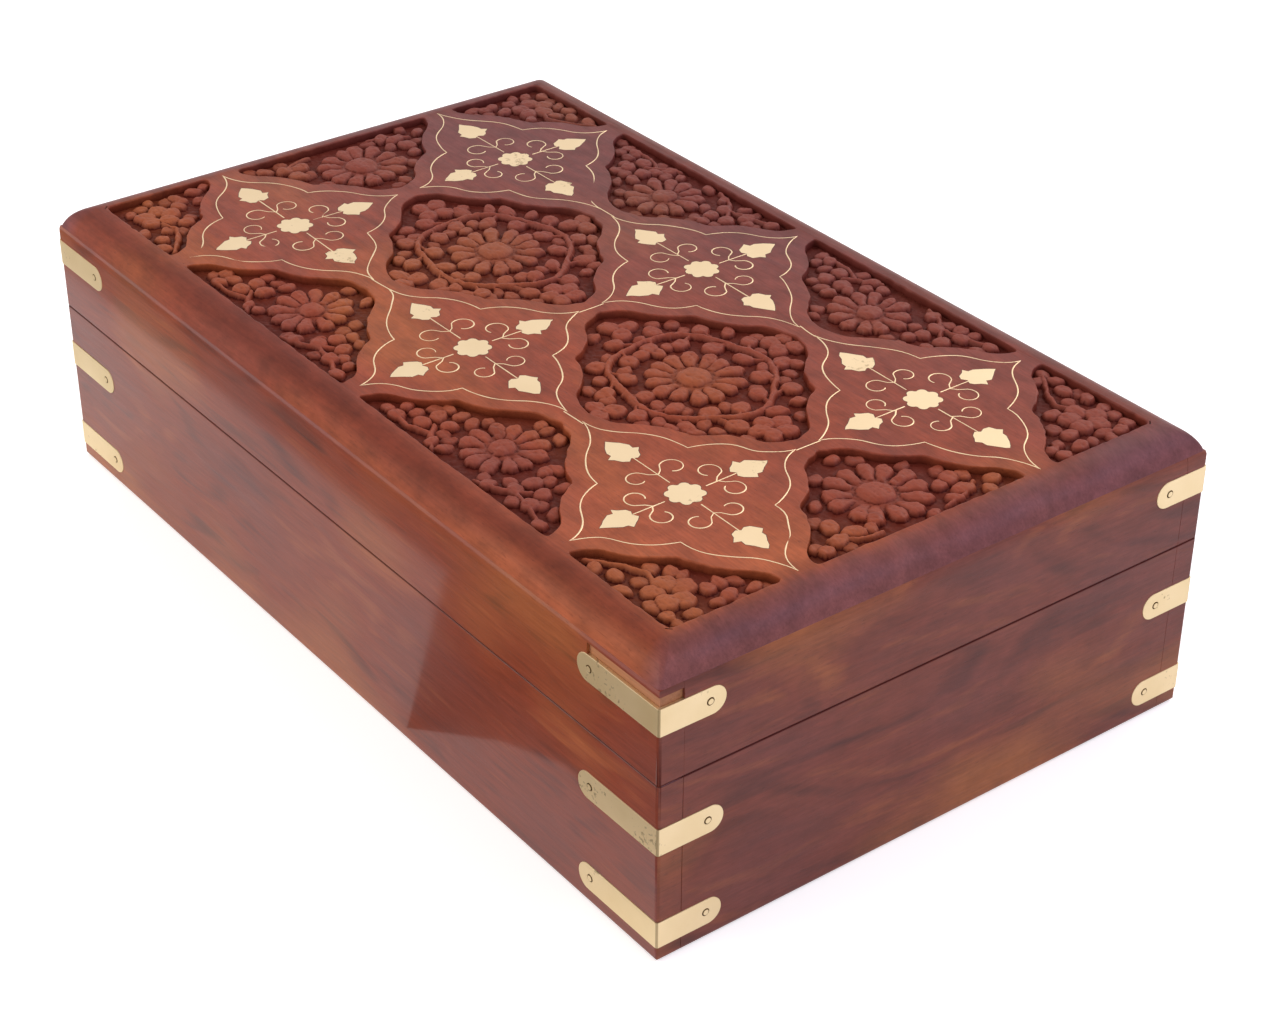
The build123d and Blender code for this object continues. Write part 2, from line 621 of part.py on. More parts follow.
def corner_panel():
    """Small flower with leaves for the corner at the origin, the panel towards -X and +Y."""
    centre = Pos(-CORNER_FLOWER_INSET, CORNER_FLOWER_INSET)
    petals = bud(CORNER_PETALS, 0, CORNER_FLOWER_SPREAD, CORNER_PETAL_RADIUS)
    shapes = [centre * shape for shape in petals]
    for x, y, turn in CORNER_PANEL_LEAVES:
        shapes.append(Pos(x, y) * Rot(0, 0, turn) * spray_leaf())
    start, end, rise = CORNER_PANEL_STEM
    shapes.append(bowed_strip(start, end, rise, STEM_WIDTH))
    return shapes


def all_relief():
    """Every carved outline of the top, in place."""
    half_length = CARVED_LENGTH / 2
    half_width = CARVED_WIDTH / 2
    middle = TILE_PITCH_ALONG / 2
    shapes = []
    for x in (-middle, middle):
        shapes += [Pos(x, 0) * shape for shape in round_panel()]
        front = [Pos(x, -half_width) * shape for shape in half_panel()]
        shapes += front
        shapes += [mirror(shape, Plane.XZ) for shape in front]
    right = [Pos(half_length, 0) * Rot(0, 0, 90) * shape for shape in end_panel()]
    shapes += right
    shapes += [mirror(shape, Plane.YZ) for shape in right]
    for shape in corner_panel():
        front_right = Pos(half_length, -half_width) * shape
        shapes += in_four_quarters(front_right)
    return shapes


def pocket_faces():
    """Flat outlines of the twelve pockets: the carved field less the tiles and their land."""
    tile = offset(tile_face(), TILE_LAND)
    field = Rectangle(CARVED_LENGTH, CARVED_WIDTH)
    return field - [Pos(x, y) * tile for x, y in tile_centres()]


def carve(board):
    """Sink the pockets into the top and leave the flowers, stems and leaves standing."""
    pockets = Pos(0, 0, BOX_HEIGHT) * pocket_faces()
    ground = pockets - [Pos(0, 0, BOX_HEIGHT) * shape for shape in all_relief()]
    board -= extrude(pockets, -RELIEF_DROP)
    return board - extrude(ground, -POCKET_DEPTH)


# Assembly

base_outside = outer_shape(0, BASE_HEIGHT, FOOT_RADIUS, SEAM_ARRIS_RADIUS)
lid_outside = outer_shape(LID_BOTTOM, BOX_HEIGHT - LID_BOTTOM, SEAM_ARRIS_RADIUS, BULLNOSE_RADIUS)
four_walls("base", 0, BASE_HEIGHT, base_outside)
four_walls("lid", LID_BOTTOM, LID_WALL_HEIGHT, lid_outside)
fit_bottom()
fit_straps("lid_strap", "lid")
fit_straps("base_upper_strap", "base")
fit_straps("base_lower_strap", "base")
cut(wide_groove(), "lid_front_wall")
fit_hinge_half("base", -1)
fit_hinge_half("lid", 1)
fit_hinge_pins()
take_out_waste()

base_lining_bottom = BOTTOM_THICKNESS + FLOOR_LINING_THICKNESS
base_lining_height = BASE_HEIGHT - LINING_BELOW_RIM - base_lining_bottom
fit_lining("base", BOTTOM_THICKNESS, base_lining_bottom, base_lining_height)
lid_lining_bottom = LID_BOTTOM + LINING_BELOW_RIM
lid_lining_height = TOP_BOTTOM - FLOOR_LINING_THICKNESS - lid_lining_bottom
fit_lining("lid", TOP_BOTTOM - FLOOR_LINING_THICKNESS, lid_lining_bottom, lid_lining_height)

top_board = block(BOX_LENGTH, BOX_WIDTH, TOP_THICKNESS, 0, 0, TOP_BOTTOM) & lid_outside
inlay = inlay_solids()
top_board = carve(top_board)
nodes["lid_top_board"] = top_board - [solid for solids in inlay.values() for solid in solids]
for name, solids in inlay.items():
    nodes[name] = Compound(children=solids)

os.makedirs("parts", exist_ok=True)
for name, shape in nodes.items():
    export_step(shape, f"parts/{name}.step")
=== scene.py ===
"""Looks of a carved, inlaid and brass-bound sheesham jewellery box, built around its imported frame.

Every mesh is in metres in the frame's axes: +X along the front to the right, +Y to the back, +Z up,
with the origin in the middle of the underside. Sizes are written in millimetres times MM. The carving
is drawn in millimetres about the middle of its own panel, and is scaled once, as its mesh is made.
"""

import logging
from dataclasses import dataclass, field
from enum import Enum
from math import cos, hypot, pi, radians, sin
from typing import Callable, Iterable

import bmesh
import bpy
import numpy as np
from bmesh.types import BMEdge, BMesh, BMFace, BMVert
from bpy.types import Material, Node, NodeSocket, NodeTree, Object
from mathutils import Matrix, Vector


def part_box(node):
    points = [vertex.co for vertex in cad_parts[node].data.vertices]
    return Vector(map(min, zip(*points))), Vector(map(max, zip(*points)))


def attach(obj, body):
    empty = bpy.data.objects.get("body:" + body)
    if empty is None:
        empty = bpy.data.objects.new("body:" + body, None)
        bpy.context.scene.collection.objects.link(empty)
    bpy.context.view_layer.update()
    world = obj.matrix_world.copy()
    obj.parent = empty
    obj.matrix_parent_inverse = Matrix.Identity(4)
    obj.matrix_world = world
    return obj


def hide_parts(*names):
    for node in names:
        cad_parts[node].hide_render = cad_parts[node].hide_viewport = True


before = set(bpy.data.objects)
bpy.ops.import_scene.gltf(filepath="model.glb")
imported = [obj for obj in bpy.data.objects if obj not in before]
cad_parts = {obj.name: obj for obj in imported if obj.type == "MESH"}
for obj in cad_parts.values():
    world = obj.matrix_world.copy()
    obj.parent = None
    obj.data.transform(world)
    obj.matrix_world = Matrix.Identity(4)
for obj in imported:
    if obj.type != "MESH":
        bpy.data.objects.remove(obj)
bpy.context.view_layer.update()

MM = 0.001
BACKGROUND = 1.0
CORNERS = ((-1, -1), (1, -1), (1, 1), (-1, 1))
# sockets of a Mix node that mixes two colours
MIX_A, MIX_B, MIXED = 6, 7, 2

log = logging.getLogger("jewellery_box")


class Grain(Enum):
    """The axis of the box that a board's grain follows."""

    ALONG = 0
    ACROSS = 1


# Shader helpers

def linear(colour: str) -> tuple[float, float, float, float]:
    """Turn an sRGB hex colour into the linear colour that the shaders work in.

    Args:
        colour: Six hex digits after a hash sign.

    Returns:
        Red, green, blue and an alpha of 1.
    """
    shares = [int(colour[i:i + 2], 16) / 255 for i in (1, 3, 5)]
    return (*[c / 12.92 if c <= 0.04045 else ((c + 0.055) / 1.055) ** 2.4 for c in shares], 1.0)


def add_node(tree: NodeTree, kind: str, inputs: dict | None = None, stops: Iterable = (),
             **settings) -> Node:
    """Add one shader node with its settings, its values and its links.

    Args:
        tree: Node tree of the material or world.
        kind: Type name of the node, without its ShaderNode prefix.
        inputs: Input name or number, with the value or the output socket that feeds it.
        stops: Position and hex colour of each stop, for a colour ramp.
        settings: Properties of the node.

    Returns:
        The node.
    """
    made = tree.nodes.new("ShaderNode" + kind)
    for name, value in settings.items():
        setattr(made, name, value)
    for socket, value in (inputs or {}).items():
        if isinstance(value, NodeSocket):
            tree.links.new(value, made.inputs[socket])
        else:
            made.inputs[socket].default_value = value
    stops = list(stops)
    if stops:
        elements = made.color_ramp.elements
        while len(elements) < len(stops):
            elements.new(1.0)
        for element, (position, colour) in zip(elements, stops):
            element.position = position
            element.color = linear(colour)
    return made


def new_material(name: str) -> tuple[Material, NodeTree, Node]:
    """Make a material with an empty tree and its output node.

    Returns:
        The material, its node tree and the output node.
    """
    material = bpy.data.materials.new(name)
    material.use_nodes = True
    tree = material.node_tree
    tree.nodes.clear()
    return material, tree, add_node(tree, "OutputMaterial")


# Finishes

@dataclass(frozen=True)
class Layer:
    """Noise of one layer of a board's figure: width across the grain, and stretch times that along it."""

    width: float
    stretch: float
    detail: float
    roughness: float


@dataclass(frozen=True)
class Sheesham:
    """Oiled and lacquered sheesham, planed along the grain.

    It gives the eye a warm red-brown ground with darker bands of growth, fine streaks and short dark
    pores along the grain, slow drifts to gold and to purple, and a half-gloss of thin lacquer.
    """

    name: str
    grain: Grain
    # colours, from the wood's own to those of its stained places, its painted sheen and its painted shade
    dark: str = "#471a14"
    body: str = "#8a4431"
    light: str = "#a95d40"
    gold: str = "#b7703a"
    dusk: str = "#673b3e"
    sap: str = "#ba6540"
    polish: str = "#6d2f22"
    end_sheen_colour: str = "#744b52"
    painted_shade_colour: str = "#47100a"
    # figure
    swirl: Layer = Layer(22 * MM, 3.0, 2.0, 0.5)
    bend: float = 9 * MM
    bands: Layer = Layer(8 * MM, 7.0, 4.0, 0.55)
    streaks: Layer = Layer(1.9 * MM, 22.0, 5.0, 0.6)
    streak_share: float = 0.33
    growth: Layer = Layer(24 * MM, 3.2, 1.0, 0.4)
    ring_waves: float = 62.0
    ring_tones: tuple[float, float] = (0.32, 0.62)
    rings: float = 0.25
    figure: float = 0.8
    tone_reach: float = 0.16
    drift: Layer = Layer(36 * MM, 1.8, 1.5, 0.5)
    gold_share: float = 0.3
    gold_drift: float = 0.66
    dusk_share: float = 0.3
    dusk_drift: float = 0.34
    fibres: Layer = Layer(0.55 * MM, 16.0, 4.0, 0.6)
    fibre_tones: tuple[float, float] = (0.86, 1.12)
    blotches: Layer = Layer(5 * MM, 1.6, 3.0, 0.65)
    mottle: float = 0.0
    pores: Layer = Layer(0.24 * MM, 8.0, 1.0, 0.5)
    pore_edge: tuple[float, float] = (0.64, 0.72)
    pore_share: float = 0.28
    pore_depth: float = 0.03 * MM
    offset: tuple[float, float, float] = (0.0, 0.0, 0.0)
    tilt: float = 0.0
    # places of the board that are darker or paler than the rest; the purple towards the back and at the ends
    # is painted sheen
    back_sheen: float = 0.0
    sheen_side: tuple[float, float, float] = (-0.35, 1.0, 0.0)
    sheen_reach: tuple[float, float] = (-20 * MM, 60 * MM)
    near_sap: float = 0.0
    sap_side: tuple[float, float, float] = (0.8, -1.0, 0.0)
    sap_reach: tuple[float, float] = (66 * MM, 150 * MM)
    rim_dusk: float = 0.0
    rim_corner: tuple[float, float, float] = (0.0, 0.0, 0.0)
    rim_reach: tuple[float, float] = (-4 * MM, 3 * MM)
    rim_drop: tuple[float, float] = (-4.5 * MM, -1.5 * MM)
    rim_least: float = 0.35
    end_sheen: float = 0.0
    end_start: float = 0.0
    end_fade: float = 7 * MM
    # surface
    roughness: float = 0.38
    roughness_spread: tuple[float, float] = (-0.05, 0.09)
    specular: float = 0.24
    painted_shade_specular: float = 0.05
    coat: float = 0.04
    coat_roughness: float = 0.2

    def layer(self, tree: NodeTree, coordinates: NodeSocket, layer: Layer) -> Node:
        """Lay one layer of noise over coordinates, drawn out along the grain.

        Returns:
            The noise's node.
        """
        scale = [1 / layer.width] * 3
        scale[self.grain.value] /= layer.stretch
        mapping = add_node(tree, "Mapping", {"Vector": coordinates, "Scale": scale, "Location": self.offset})
        return add_node(tree, "TexNoise", {"Vector": mapping.outputs["Vector"], "Scale": 1.0,
                                           "Detail": layer.detail, "Roughness": layer.roughness})

    def bent(self, tree: NodeTree, tilted: NodeSocket) -> NodeSocket:
        """Bend coordinates in the slow swirl that turns growth bands into flame figure.

        Returns:
            The bent coordinates.
        """
        swirl = self.layer(tree, tilted, self.swirl)
        centred = add_node(tree, "VectorMath", {0: swirl.outputs["Color"], 1: (0.5, 0.5, 0.5)},
                           operation="SUBTRACT")
        bend = add_node(tree, "VectorMath", {0: centred.outputs[0], "Scale": self.bend}, operation="SCALE")
        return add_node(tree, "VectorMath", {0: tilted, 1: bend.outputs[0]}, operation="ADD").outputs[0]

    def figured(self, tree: NodeTree, bent: NodeSocket, streaks: NodeSocket) -> NodeSocket:
        """Colour the growth bands, streaks and rings, from dark heartwood to light sapwood.

        Returns:
            The wood's colour.
        """
        bands = self.layer(tree, bent, self.bands).outputs["Fac"]
        weight = add_node(tree, "Mix", {0: self.streak_share, 2: bands, 3: streaks},
                          data_type="FLOAT").outputs[0]
        # the saw cuts the growth rings into nested flames and eyes
        depth = self.layer(tree, bent, self.growth).outputs["Fac"]
        waves = add_node(tree, "Math", {0: depth, 1: self.ring_waves}, operation="MULTIPLY").outputs[0]
        wave = add_node(tree, "Math", {0: waves}, operation="SINE").outputs[0]
        rings = add_node(tree, "MapRange", {"Value": wave, "From Min": -1.0, "To Min": self.ring_tones[0],
                                            "To Max": self.ring_tones[1]}).outputs[0]
        weight = add_node(tree, "Mix", {0: self.rings, 2: weight, 3: rings}, data_type="FLOAT").outputs[0]
        reach = self.tone_reach / self.figure
        spread = add_node(tree, "MapRange", {"Value": weight, "From Min": 0.5 - reach,
                                             "From Max": 0.5 + reach}).outputs[0]
        return add_node(tree, "ValToRGB", {"Fac": spread}, stops=(
            (0.0, self.dark), (0.4, self.body), (0.6, self.body), (1.0, self.light))).outputs["Color"]

    def drifted(self, tree: NodeTree, wood: NodeSocket, tilted: NodeSocket, bent: NodeSocket) -> NodeSocket:
        """Let the colour drift slowly to gold and to purple dusk, and paint a purple sheen towards the back.

        Returns:
            The changed colour.
        """
        drift = self.layer(tree, tilted, self.drift).outputs["Fac"]
        golden = add_node(tree, "MapRange", {"Value": drift, "From Min": 0.5, "From Max": self.gold_drift,
                                             "To Max": self.gold_share}).outputs[0]
        wood = add_node(tree, "Mix", {0: golden, MIX_A: wood, MIX_B: linear(self.gold)},
                        data_type="RGBA").outputs[MIXED]
        dusk_and_sheen = add_node(tree, "MapRange", {"Value": drift, "From Min": 0.5, "From Max": self.dusk_drift,
                                            "To Max": self.dusk_share}).outputs[0]
        if self.back_sheen:
            # painted sheen: the board turns purple towards its back, standing for the cool reflection it
            # shows there at a glancing view
            back_sheen_share = self.towards(tree, bent, self.sheen_side, self.sheen_reach, self.back_sheen)
            dusk_and_sheen = add_node(tree, "Math", {0: dusk_and_sheen, 1: back_sheen_share}, operation="MAXIMUM").outputs[0]
        return add_node(tree, "Mix", {0: dusk_and_sheen, MIX_A: wood, MIX_B: linear(self.dusk)},
                        data_type="RGBA").outputs[MIXED]

    @staticmethod
    def towards(tree: NodeTree, coordinates: NodeSocket, side: tuple[float, float, float],
                reach: tuple[float, float], most: float) -> NodeSocket:
        """Grow a share from 0 to its most over a reach towards one side of the box.

        Returns:
            The share.
        """
        away = add_node(tree, "VectorMath", {0: coordinates, 1: side}, operation="DOT_PRODUCT")
        return add_node(tree, "MapRange", {"Value": away.outputs["Value"], "From Min": reach[0],
                                           "From Max": reach[1], "To Max": most}).outputs[0]

    def sap_share(self, tree: NodeTree, bent: NodeSocket) -> NodeSocket:
        """Paler sap lies towards the near corner."""
        return self.towards(tree, bent, self.sap_side, self.sap_reach, self.near_sap)

    def rim_share(self, tree: NodeTree, bent: NodeSocket) -> NodeSocket:
        """Handling and old polish darken the border round the carved field, most of all on its flat.

        Returns:
            Share of the dark polish.
        """
        inside = add_node(tree, "VectorMath", {0: bent}, operation="ABSOLUTE").outputs[0]
        past = add_node(tree, "VectorMath", {0: inside, 1: self.rim_corner}, operation="SUBTRACT").outputs[0]
        beyond = add_node(tree, "SeparateXYZ", {0: past}).outputs
        reach = add_node(tree, "Math", {0: beyond["X"], 1: beyond["Y"]}, operation="MAXIMUM").outputs[0]
        border = add_node(tree, "MapRange", {"Value": reach, "From Min": self.rim_reach[0],
                                             "From Max": self.rim_reach[1], "To Max": self.rim_dusk})
        flat = add_node(tree, "MapRange", {"Value": beyond["Z"], "From Min": self.rim_drop[0],
                                           "From Max": self.rim_drop[1], "To Min": self.rim_least})
        return add_node(tree, "Math", {0: border.outputs[0], 1: flat.outputs[0]},
                        operation="MULTIPLY").outputs[0]

    def end_sheen_share(self, tree: NodeTree, bent: NodeSocket) -> NodeSocket:
        """Painted sheen: the board's ends turn purple-grey, standing for the cool sheen of their end grain.
        """
        x = add_node(tree, "SeparateXYZ", {0: bent}).outputs["X"]
        along = add_node(tree, "Math", {0: x}, operation="ABSOLUTE").outputs[0]
        return add_node(tree, "MapRange", {"Value": along, "From Min": self.end_start,
                                           "From Max": self.end_start + self.end_fade,
                                           "To Max": self.end_sheen}).outputs[0]

    def tinted(self, tree: NodeTree, wood: NodeSocket, bent: NodeSocket) -> NodeSocket:
        """Tint the sap and the border, and paint sheen on the end grain, where the board has them.

        Returns:
            The changed colour.
        """
        for most, share, colour in ((self.near_sap, self.sap_share, self.sap),
                                    (self.rim_dusk, self.rim_share, self.polish),
                                    (self.end_sheen, self.end_sheen_share, self.end_sheen_colour)):
            if most:
                wood = add_node(tree, "Mix", {0: share(tree, bent), MIX_A: wood, MIX_B: linear(colour)},
                                data_type="RGBA").outputs[MIXED]
        return wood

    def shaded(self, tree: NodeTree, wood: NodeSocket, bent: NodeSocket,
               fibres: NodeSocket, pore: NodeSocket) -> NodeSocket:
        """Lighten and darken the colour by fine fibres and blotches, and dash it with dark pores.

        Returns:
            The changed colour.
        """
        shade = add_node(tree, "MapRange", {
            "Value": fibres, "From Min": 0.3, "From Max": 0.7, "To Min": self.fibre_tones[0],
            "To Max": self.fibre_tones[1]}).outputs[0]
        if self.mottle:
            # handling and uneven polish leave soft blotches a few millimetres wide
            blotch = self.layer(tree, bent, self.blotches).outputs["Fac"]
            patchy = add_node(tree, "MapRange", {"Value": blotch, "From Min": 0.32, "From Max": 0.68,
                                                 "To Min": 1 - self.mottle, "To Max": 1 + self.mottle})
            shade = add_node(tree, "Math", {0: shade, 1: patchy.outputs[0]}, operation="MULTIPLY").outputs[0]
        wood = add_node(tree, "VectorMath", {0: wood, "Scale": shade}, operation="SCALE").outputs[0]
        dash = add_node(tree, "Math", {0: pore, 1: self.pore_share}, operation="MULTIPLY").outputs[0]
        return add_node(tree, "Mix", {0: dash, MIX_A: wood, MIX_B: linear(self.dark)},
                        data_type="RGBA").outputs[MIXED]

    def material(self) -> Material:
        """Build the material.

        Returns:
            The finished material.
        """
        material, tree, output = new_material(self.name)
        place = add_node(tree, "TexCoord").outputs["Object"]
        turn = [0.0, 0.0, 0.0]
        turn[1 - self.grain.value] = self.tilt
        tilted = add_node(tree, "Mapping", {"Vector": place, "Rotation": turn}).outputs["Vector"]
        bent = self.bent(tree, tilted)
        streaks = self.layer(tree, bent, self.streaks).outputs["Fac"]
        fibres = self.layer(tree, place, self.fibres).outputs["Fac"]
        pores = self.layer(tree, place, self.pores).outputs["Fac"]
        pore = add_node(tree, "MapRange", {"Value": pores, "From Min": self.pore_edge[0],
                                           "From Max": self.pore_edge[1]}).outputs[0]
        wood = self.figured(tree, bent, streaks)
        wood = self.drifted(tree, wood, tilted, bent)
        wood = self.tinted(tree, wood, bent)
        wood = self.shaded(tree, wood, bent, fibres, pore)
        # painted shade: the carving's hollows and deep ground, its panels' low walls and the lid's seam turn
        # dark and dull
        painted_shade = add_node(tree, "Attribute", attribute_name="painted_shade").outputs["Fac"]
        wood = add_node(tree, "Mix", {0: painted_shade, MIX_A: wood, MIX_B: linear(self.painted_shade_colour)},
                        data_type="RGBA").outputs[MIXED]
        specular = add_node(tree, "MapRange", {"Value": painted_shade, "To Min": self.specular,
                                               "To Max": self.painted_shade_specular}).outputs[0]
        gloss = add_node(tree, "MapRange", {
            "Value": streaks, "From Min": 0.3, "From Max": 0.7,
            "To Min": self.roughness + self.roughness_spread[0],
            "To Max": self.roughness + self.roughness_spread[1]}).outputs[0]
        relief = add_node(tree, "Math", {0: fibres, 1: pore}, operation="SUBTRACT").outputs[0]
        bump = add_node(tree, "Bump", {"Height": relief, "Distance": self.pore_depth, "Strength": 0.5})
        shader = add_node(tree, "BsdfPrincipled", {
            "Base Color": wood, "Roughness": gloss, "IOR": 1.5, "Normal": bump.outputs[0],
            "Specular IOR Level": specular, "Coat Weight": self.coat, "Coat Roughness": self.coat_roughness})
        tree.links.new(shader.outputs[0], output.inputs["Surface"])
        return material


@dataclass(frozen=True)
class Brass:
    """Yellow brass sheet or wire, filed flush and rubbed by hand.

    It gives the eye a pale cream-yellow metal with a broad soft shine, fine filing marks, and brown
    spots of tarnish that gather towards the edges.
    """

    name: str
    colour: str = "#f0dcb6"
    shadow: str = "#e0ca9c"
    tarnish: str = "#5b4221"
    roughness: float = 0.48
    dull_roughness: float = 0.7
    cloud_size: float = 9 * MM
    speck_size: float = 1.1 * MM
    gather_size: float = 14 * MM
    spots: float = 0.5
    spot_edge: tuple[float, float] = (0.4, 0.47)
    stained: tuple[float, float, float] = (0.0, 0.0, -1.0)
    stain_reach: float = 9 * MM
    stain_weight: float = 0.17
    filing_width: float = 0.25 * MM
    filing_depth: float = 0.01 * MM
    filing_run: tuple[float, float, float] = (0.12, 0.12, 1.0)

    def material(self) -> Material:
        """Build the material.

        Returns:
            The finished material.
        """
        material, tree, output = new_material(self.name)
        place = add_node(tree, "TexCoord").outputs["Object"]
        cloud = add_node(tree, "TexNoise", {"Vector": place, "Scale": 1 / self.cloud_size, "Detail": 3.0})
        metal = add_node(tree, "Mix", {
            0: cloud.outputs["Fac"], MIX_A: linear(self.colour), MIX_B: linear(self.shadow)},
            data_type="RGBA").outputs[MIXED]
        specks = add_node(tree, "TexNoise", {"Vector": place, "Scale": 1 / self.speck_size, "Detail": 3.0,
                                             "Roughness": 0.6})
        gather = add_node(tree, "TexNoise", {"Vector": place, "Scale": 1 / self.gather_size, "Detail": 1.0})
        amount = add_node(tree, "Math", {0: specks.outputs["Fac"], 1: gather.outputs["Fac"]},
                          operation="MULTIPLY").outputs[0]
        # one place was left wet with polish and is blotched
        away = add_node(tree, "VectorMath", {0: place, 1: self.stained}, operation="DISTANCE")
        wet = add_node(tree, "MapRange", {"Value": away.outputs["Value"], "From Max": self.stain_reach,
                                          "To Min": self.stain_weight, "To Max": 0.0}).outputs[0]
        amount = add_node(tree, "Math", {0: amount, 1: wet}).outputs[0]
        stain = add_node(tree, "MapRange", {"Value": amount, "From Min": self.spot_edge[0],
                                            "From Max": self.spot_edge[1], "To Max": self.spots}).outputs[0]
        grime = add_node(tree, "Attribute", attribute_name="grime").outputs["Fac"]
        stain = add_node(tree, "Math", {0: stain, 1: grime}, operation="MAXIMUM").outputs[0]
        metal = add_node(tree, "Mix", {0: stain, MIX_A: metal, MIX_B: linear(self.tarnish)},
                         data_type="RGBA").outputs[MIXED]
        filed = add_node(tree, "Mapping", {"Vector": place, "Scale": self.filing_run}).outputs[0]
        filing = add_node(tree, "TexNoise", {"Vector": filed, "Scale": 1 / self.filing_width, "Detail": 2.0})
        rough = add_node(tree, "MapRange", {"Value": stain, "To Min": self.roughness,
                                            "To Max": self.dull_roughness}).outputs[0]
        bump = add_node(tree, "Bump", {"Height": filing.outputs["Fac"], "Distance": self.filing_depth,
                                       "Strength": 0.35})
        shader = add_node(tree, "BsdfPrincipled", {
            "Base Color": metal, "Metallic": 1.0, "Roughness": rough, "Normal": bump.outputs[0]})
        tree.links.new(shader.outputs[0], output.inputs["Surface"])
        return material


@dataclass(frozen=True)
class Velvet:
    """Short-pile velvet drawn over card.

    It gives the eye a deep wine red with a pale bloom at glancing angles and soft strokes in the nap.
    """

    name: str
    colour: str = "#5e0d1b"
    brushed: str = "#7d1728"
    bloom: str = "#c98a92"
    stroke_size: float = 22 * MM
    pile: float = 0.35 * MM
    pile_depth: float = 0.12 * MM

    def material(self) -> Material:
        """Build the material.

        Returns:
            The finished material.
        """
        material, tree, output = new_material(self.name)
        place = add_node(tree, "TexCoord").outputs["Object"]
        nap = add_node(tree, "TexNoise", {"Vector": place, "Scale": 1 / self.stroke_size, "Detail": 3.0,
                                          "Distortion": 0.6})
        cloth = add_node(tree, "ValToRGB", {"Fac": nap.outputs["Fac"]},
                         stops=((0.35, self.colour), (0.68, self.brushed))).outputs["Color"]
        tufts = add_node(tree, "TexNoise", {"Vector": place, "Scale": 1 / self.pile, "Detail": 2.0})
        bump = add_node(tree, "Bump", {"Height": tufts.outputs["Fac"], "Distance": self.pile_depth,
                                       "Strength": 0.6})
        shader = add_node(tree, "BsdfPrincipled", {
            "Base Color": cloth, "Roughness": 0.95, "Normal": bump.outputs[0], "Sheen Weight": 0.8,
            "Sheen Roughness": 0.35, "Sheen Tint": linear(self.bloom), "Specular IOR Level": 0.15})
        tree.links.new(shader.outputs[0], output.inputs["Surface"])
        return material


@dataclass(frozen=True)
class Lac:
    """Dark lac that beds the brass in the wood.

    It gives the eye the thin brown line that runs round each leaf and rosette.
    """

    name: str
    colour: str = "#3a1a12"
    worn: str = "#5c3022"
    speck: float = 0.6 * MM

    def material(self) -> Material:
        """Build the material.

        Returns:
            The finished material.
        """
        material, tree, output = new_material(self.name)
        place = add_node(tree, "TexCoord").outputs["Object"]
        grit = add_node(tree, "TexNoise", {"Vector": place, "Scale": 1 / self.speck, "Detail": 2.0})
        colour = add_node(tree, "ValToRGB", {"Fac": grit.outputs["Fac"]},
                          stops=((0.3, self.colour), (0.75, self.worn))).outputs["Color"]
        shader = add_node(tree, "BsdfPrincipled", {"Base Color": colour, "Roughness": 0.5})
        tree.links.new(shader.outputs[0], output.inputs["Surface"])
        return material


# Mesh helpers

def finished_piece(name: str, bm: BMesh, material: Material, body: str,
                   replaces: Iterable[str], sharp_angle: float = 32.0,
                   others: Iterable[Material] = ()) -> Object:
    """Turn a finished bmesh into a piece that rides on a body.

    Args:
        name: Name of the piece.
        bm: Its mesh in the frame's axes, in metres. It is freed.
        material: Its finish.
        body: CAD body that it moves with.
        replaces: CAD nodes that it stands for.
        sharp_angle: Edges that turn by more degrees than this stay crisp.
        others: Finishes of the faces whose material number is 1 or more.

    Returns:
        The new object.
    """
    mesh = bpy.data.meshes.new(name)
    bm.to_mesh(mesh)
    bm.free()
    for finish in (material, *others):
        mesh.materials.append(finish)
    mesh.shade_smooth()
    mesh.set_sharp_from_angle(angle=radians(sharp_angle))
    piece = bpy.data.objects.new(name, mesh)
    bpy.context.scene.collection.objects.link(piece)
    if sharp_angle < 180:
        # large flats keep their own direction beside small rounded edges
        weighted = piece.modifiers.new("weighted_normal", "WEIGHTED_NORMAL")
        weighted.keep_sharp = True
    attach(piece, body)
    if replaces:
        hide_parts(*replaces)
    log.info("%s: %d faces", name, len(mesh.polygons))
    return piece


def cad_copy(node: str) -> BMesh:
    """Copy a CAD node's mesh with its loose triangles merged into whole flat faces.

    Returns:
        A new bmesh.
    """
    bm = bmesh.new()
    bm.from_mesh(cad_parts[node].data)
    bmesh.ops.remove_doubles(bm, verts=bm.verts, dist=0.002 * MM)
    bmesh.ops.dissolve_limit(bm, angle_limit=radians(0.5), verts=bm.verts, edges=bm.edges)
    return bm


def round_over(bm: BMesh, edges: list[BMEdge], radius: float, segments: int) -> None:
    """Round the given edges of a mesh."""
    bmesh.ops.bevel(bm, geom=edges, offset=radius, offset_type="OFFSET", segments=segments, profile=0.5,
                    affect="EDGES", material=-1, clamp_overlap=True)


def outer_edges(bm: BMesh, least_angle: float) -> list[BMEdge]:
    """Edges that stand out and turn by more than an angle in degrees."""
    least = radians(least_angle)
    return [e for e in bm.edges if e.is_manifold and e.is_convex and e.calc_face_angle() > least]


def ease_edges(bm: BMesh, radius: float, least_angle: float = 40.0) -> None:
    """Round the outer edges of a mesh, as sanding or filing does.

    Args:
        bm: Mesh to change.
        radius: How far the rounding reaches from each edge.
        least_angle: Only edges that turn by more degrees than this are rounded.
    """
    round_over(bm, outer_edges(bm, least_angle), radius, 2)


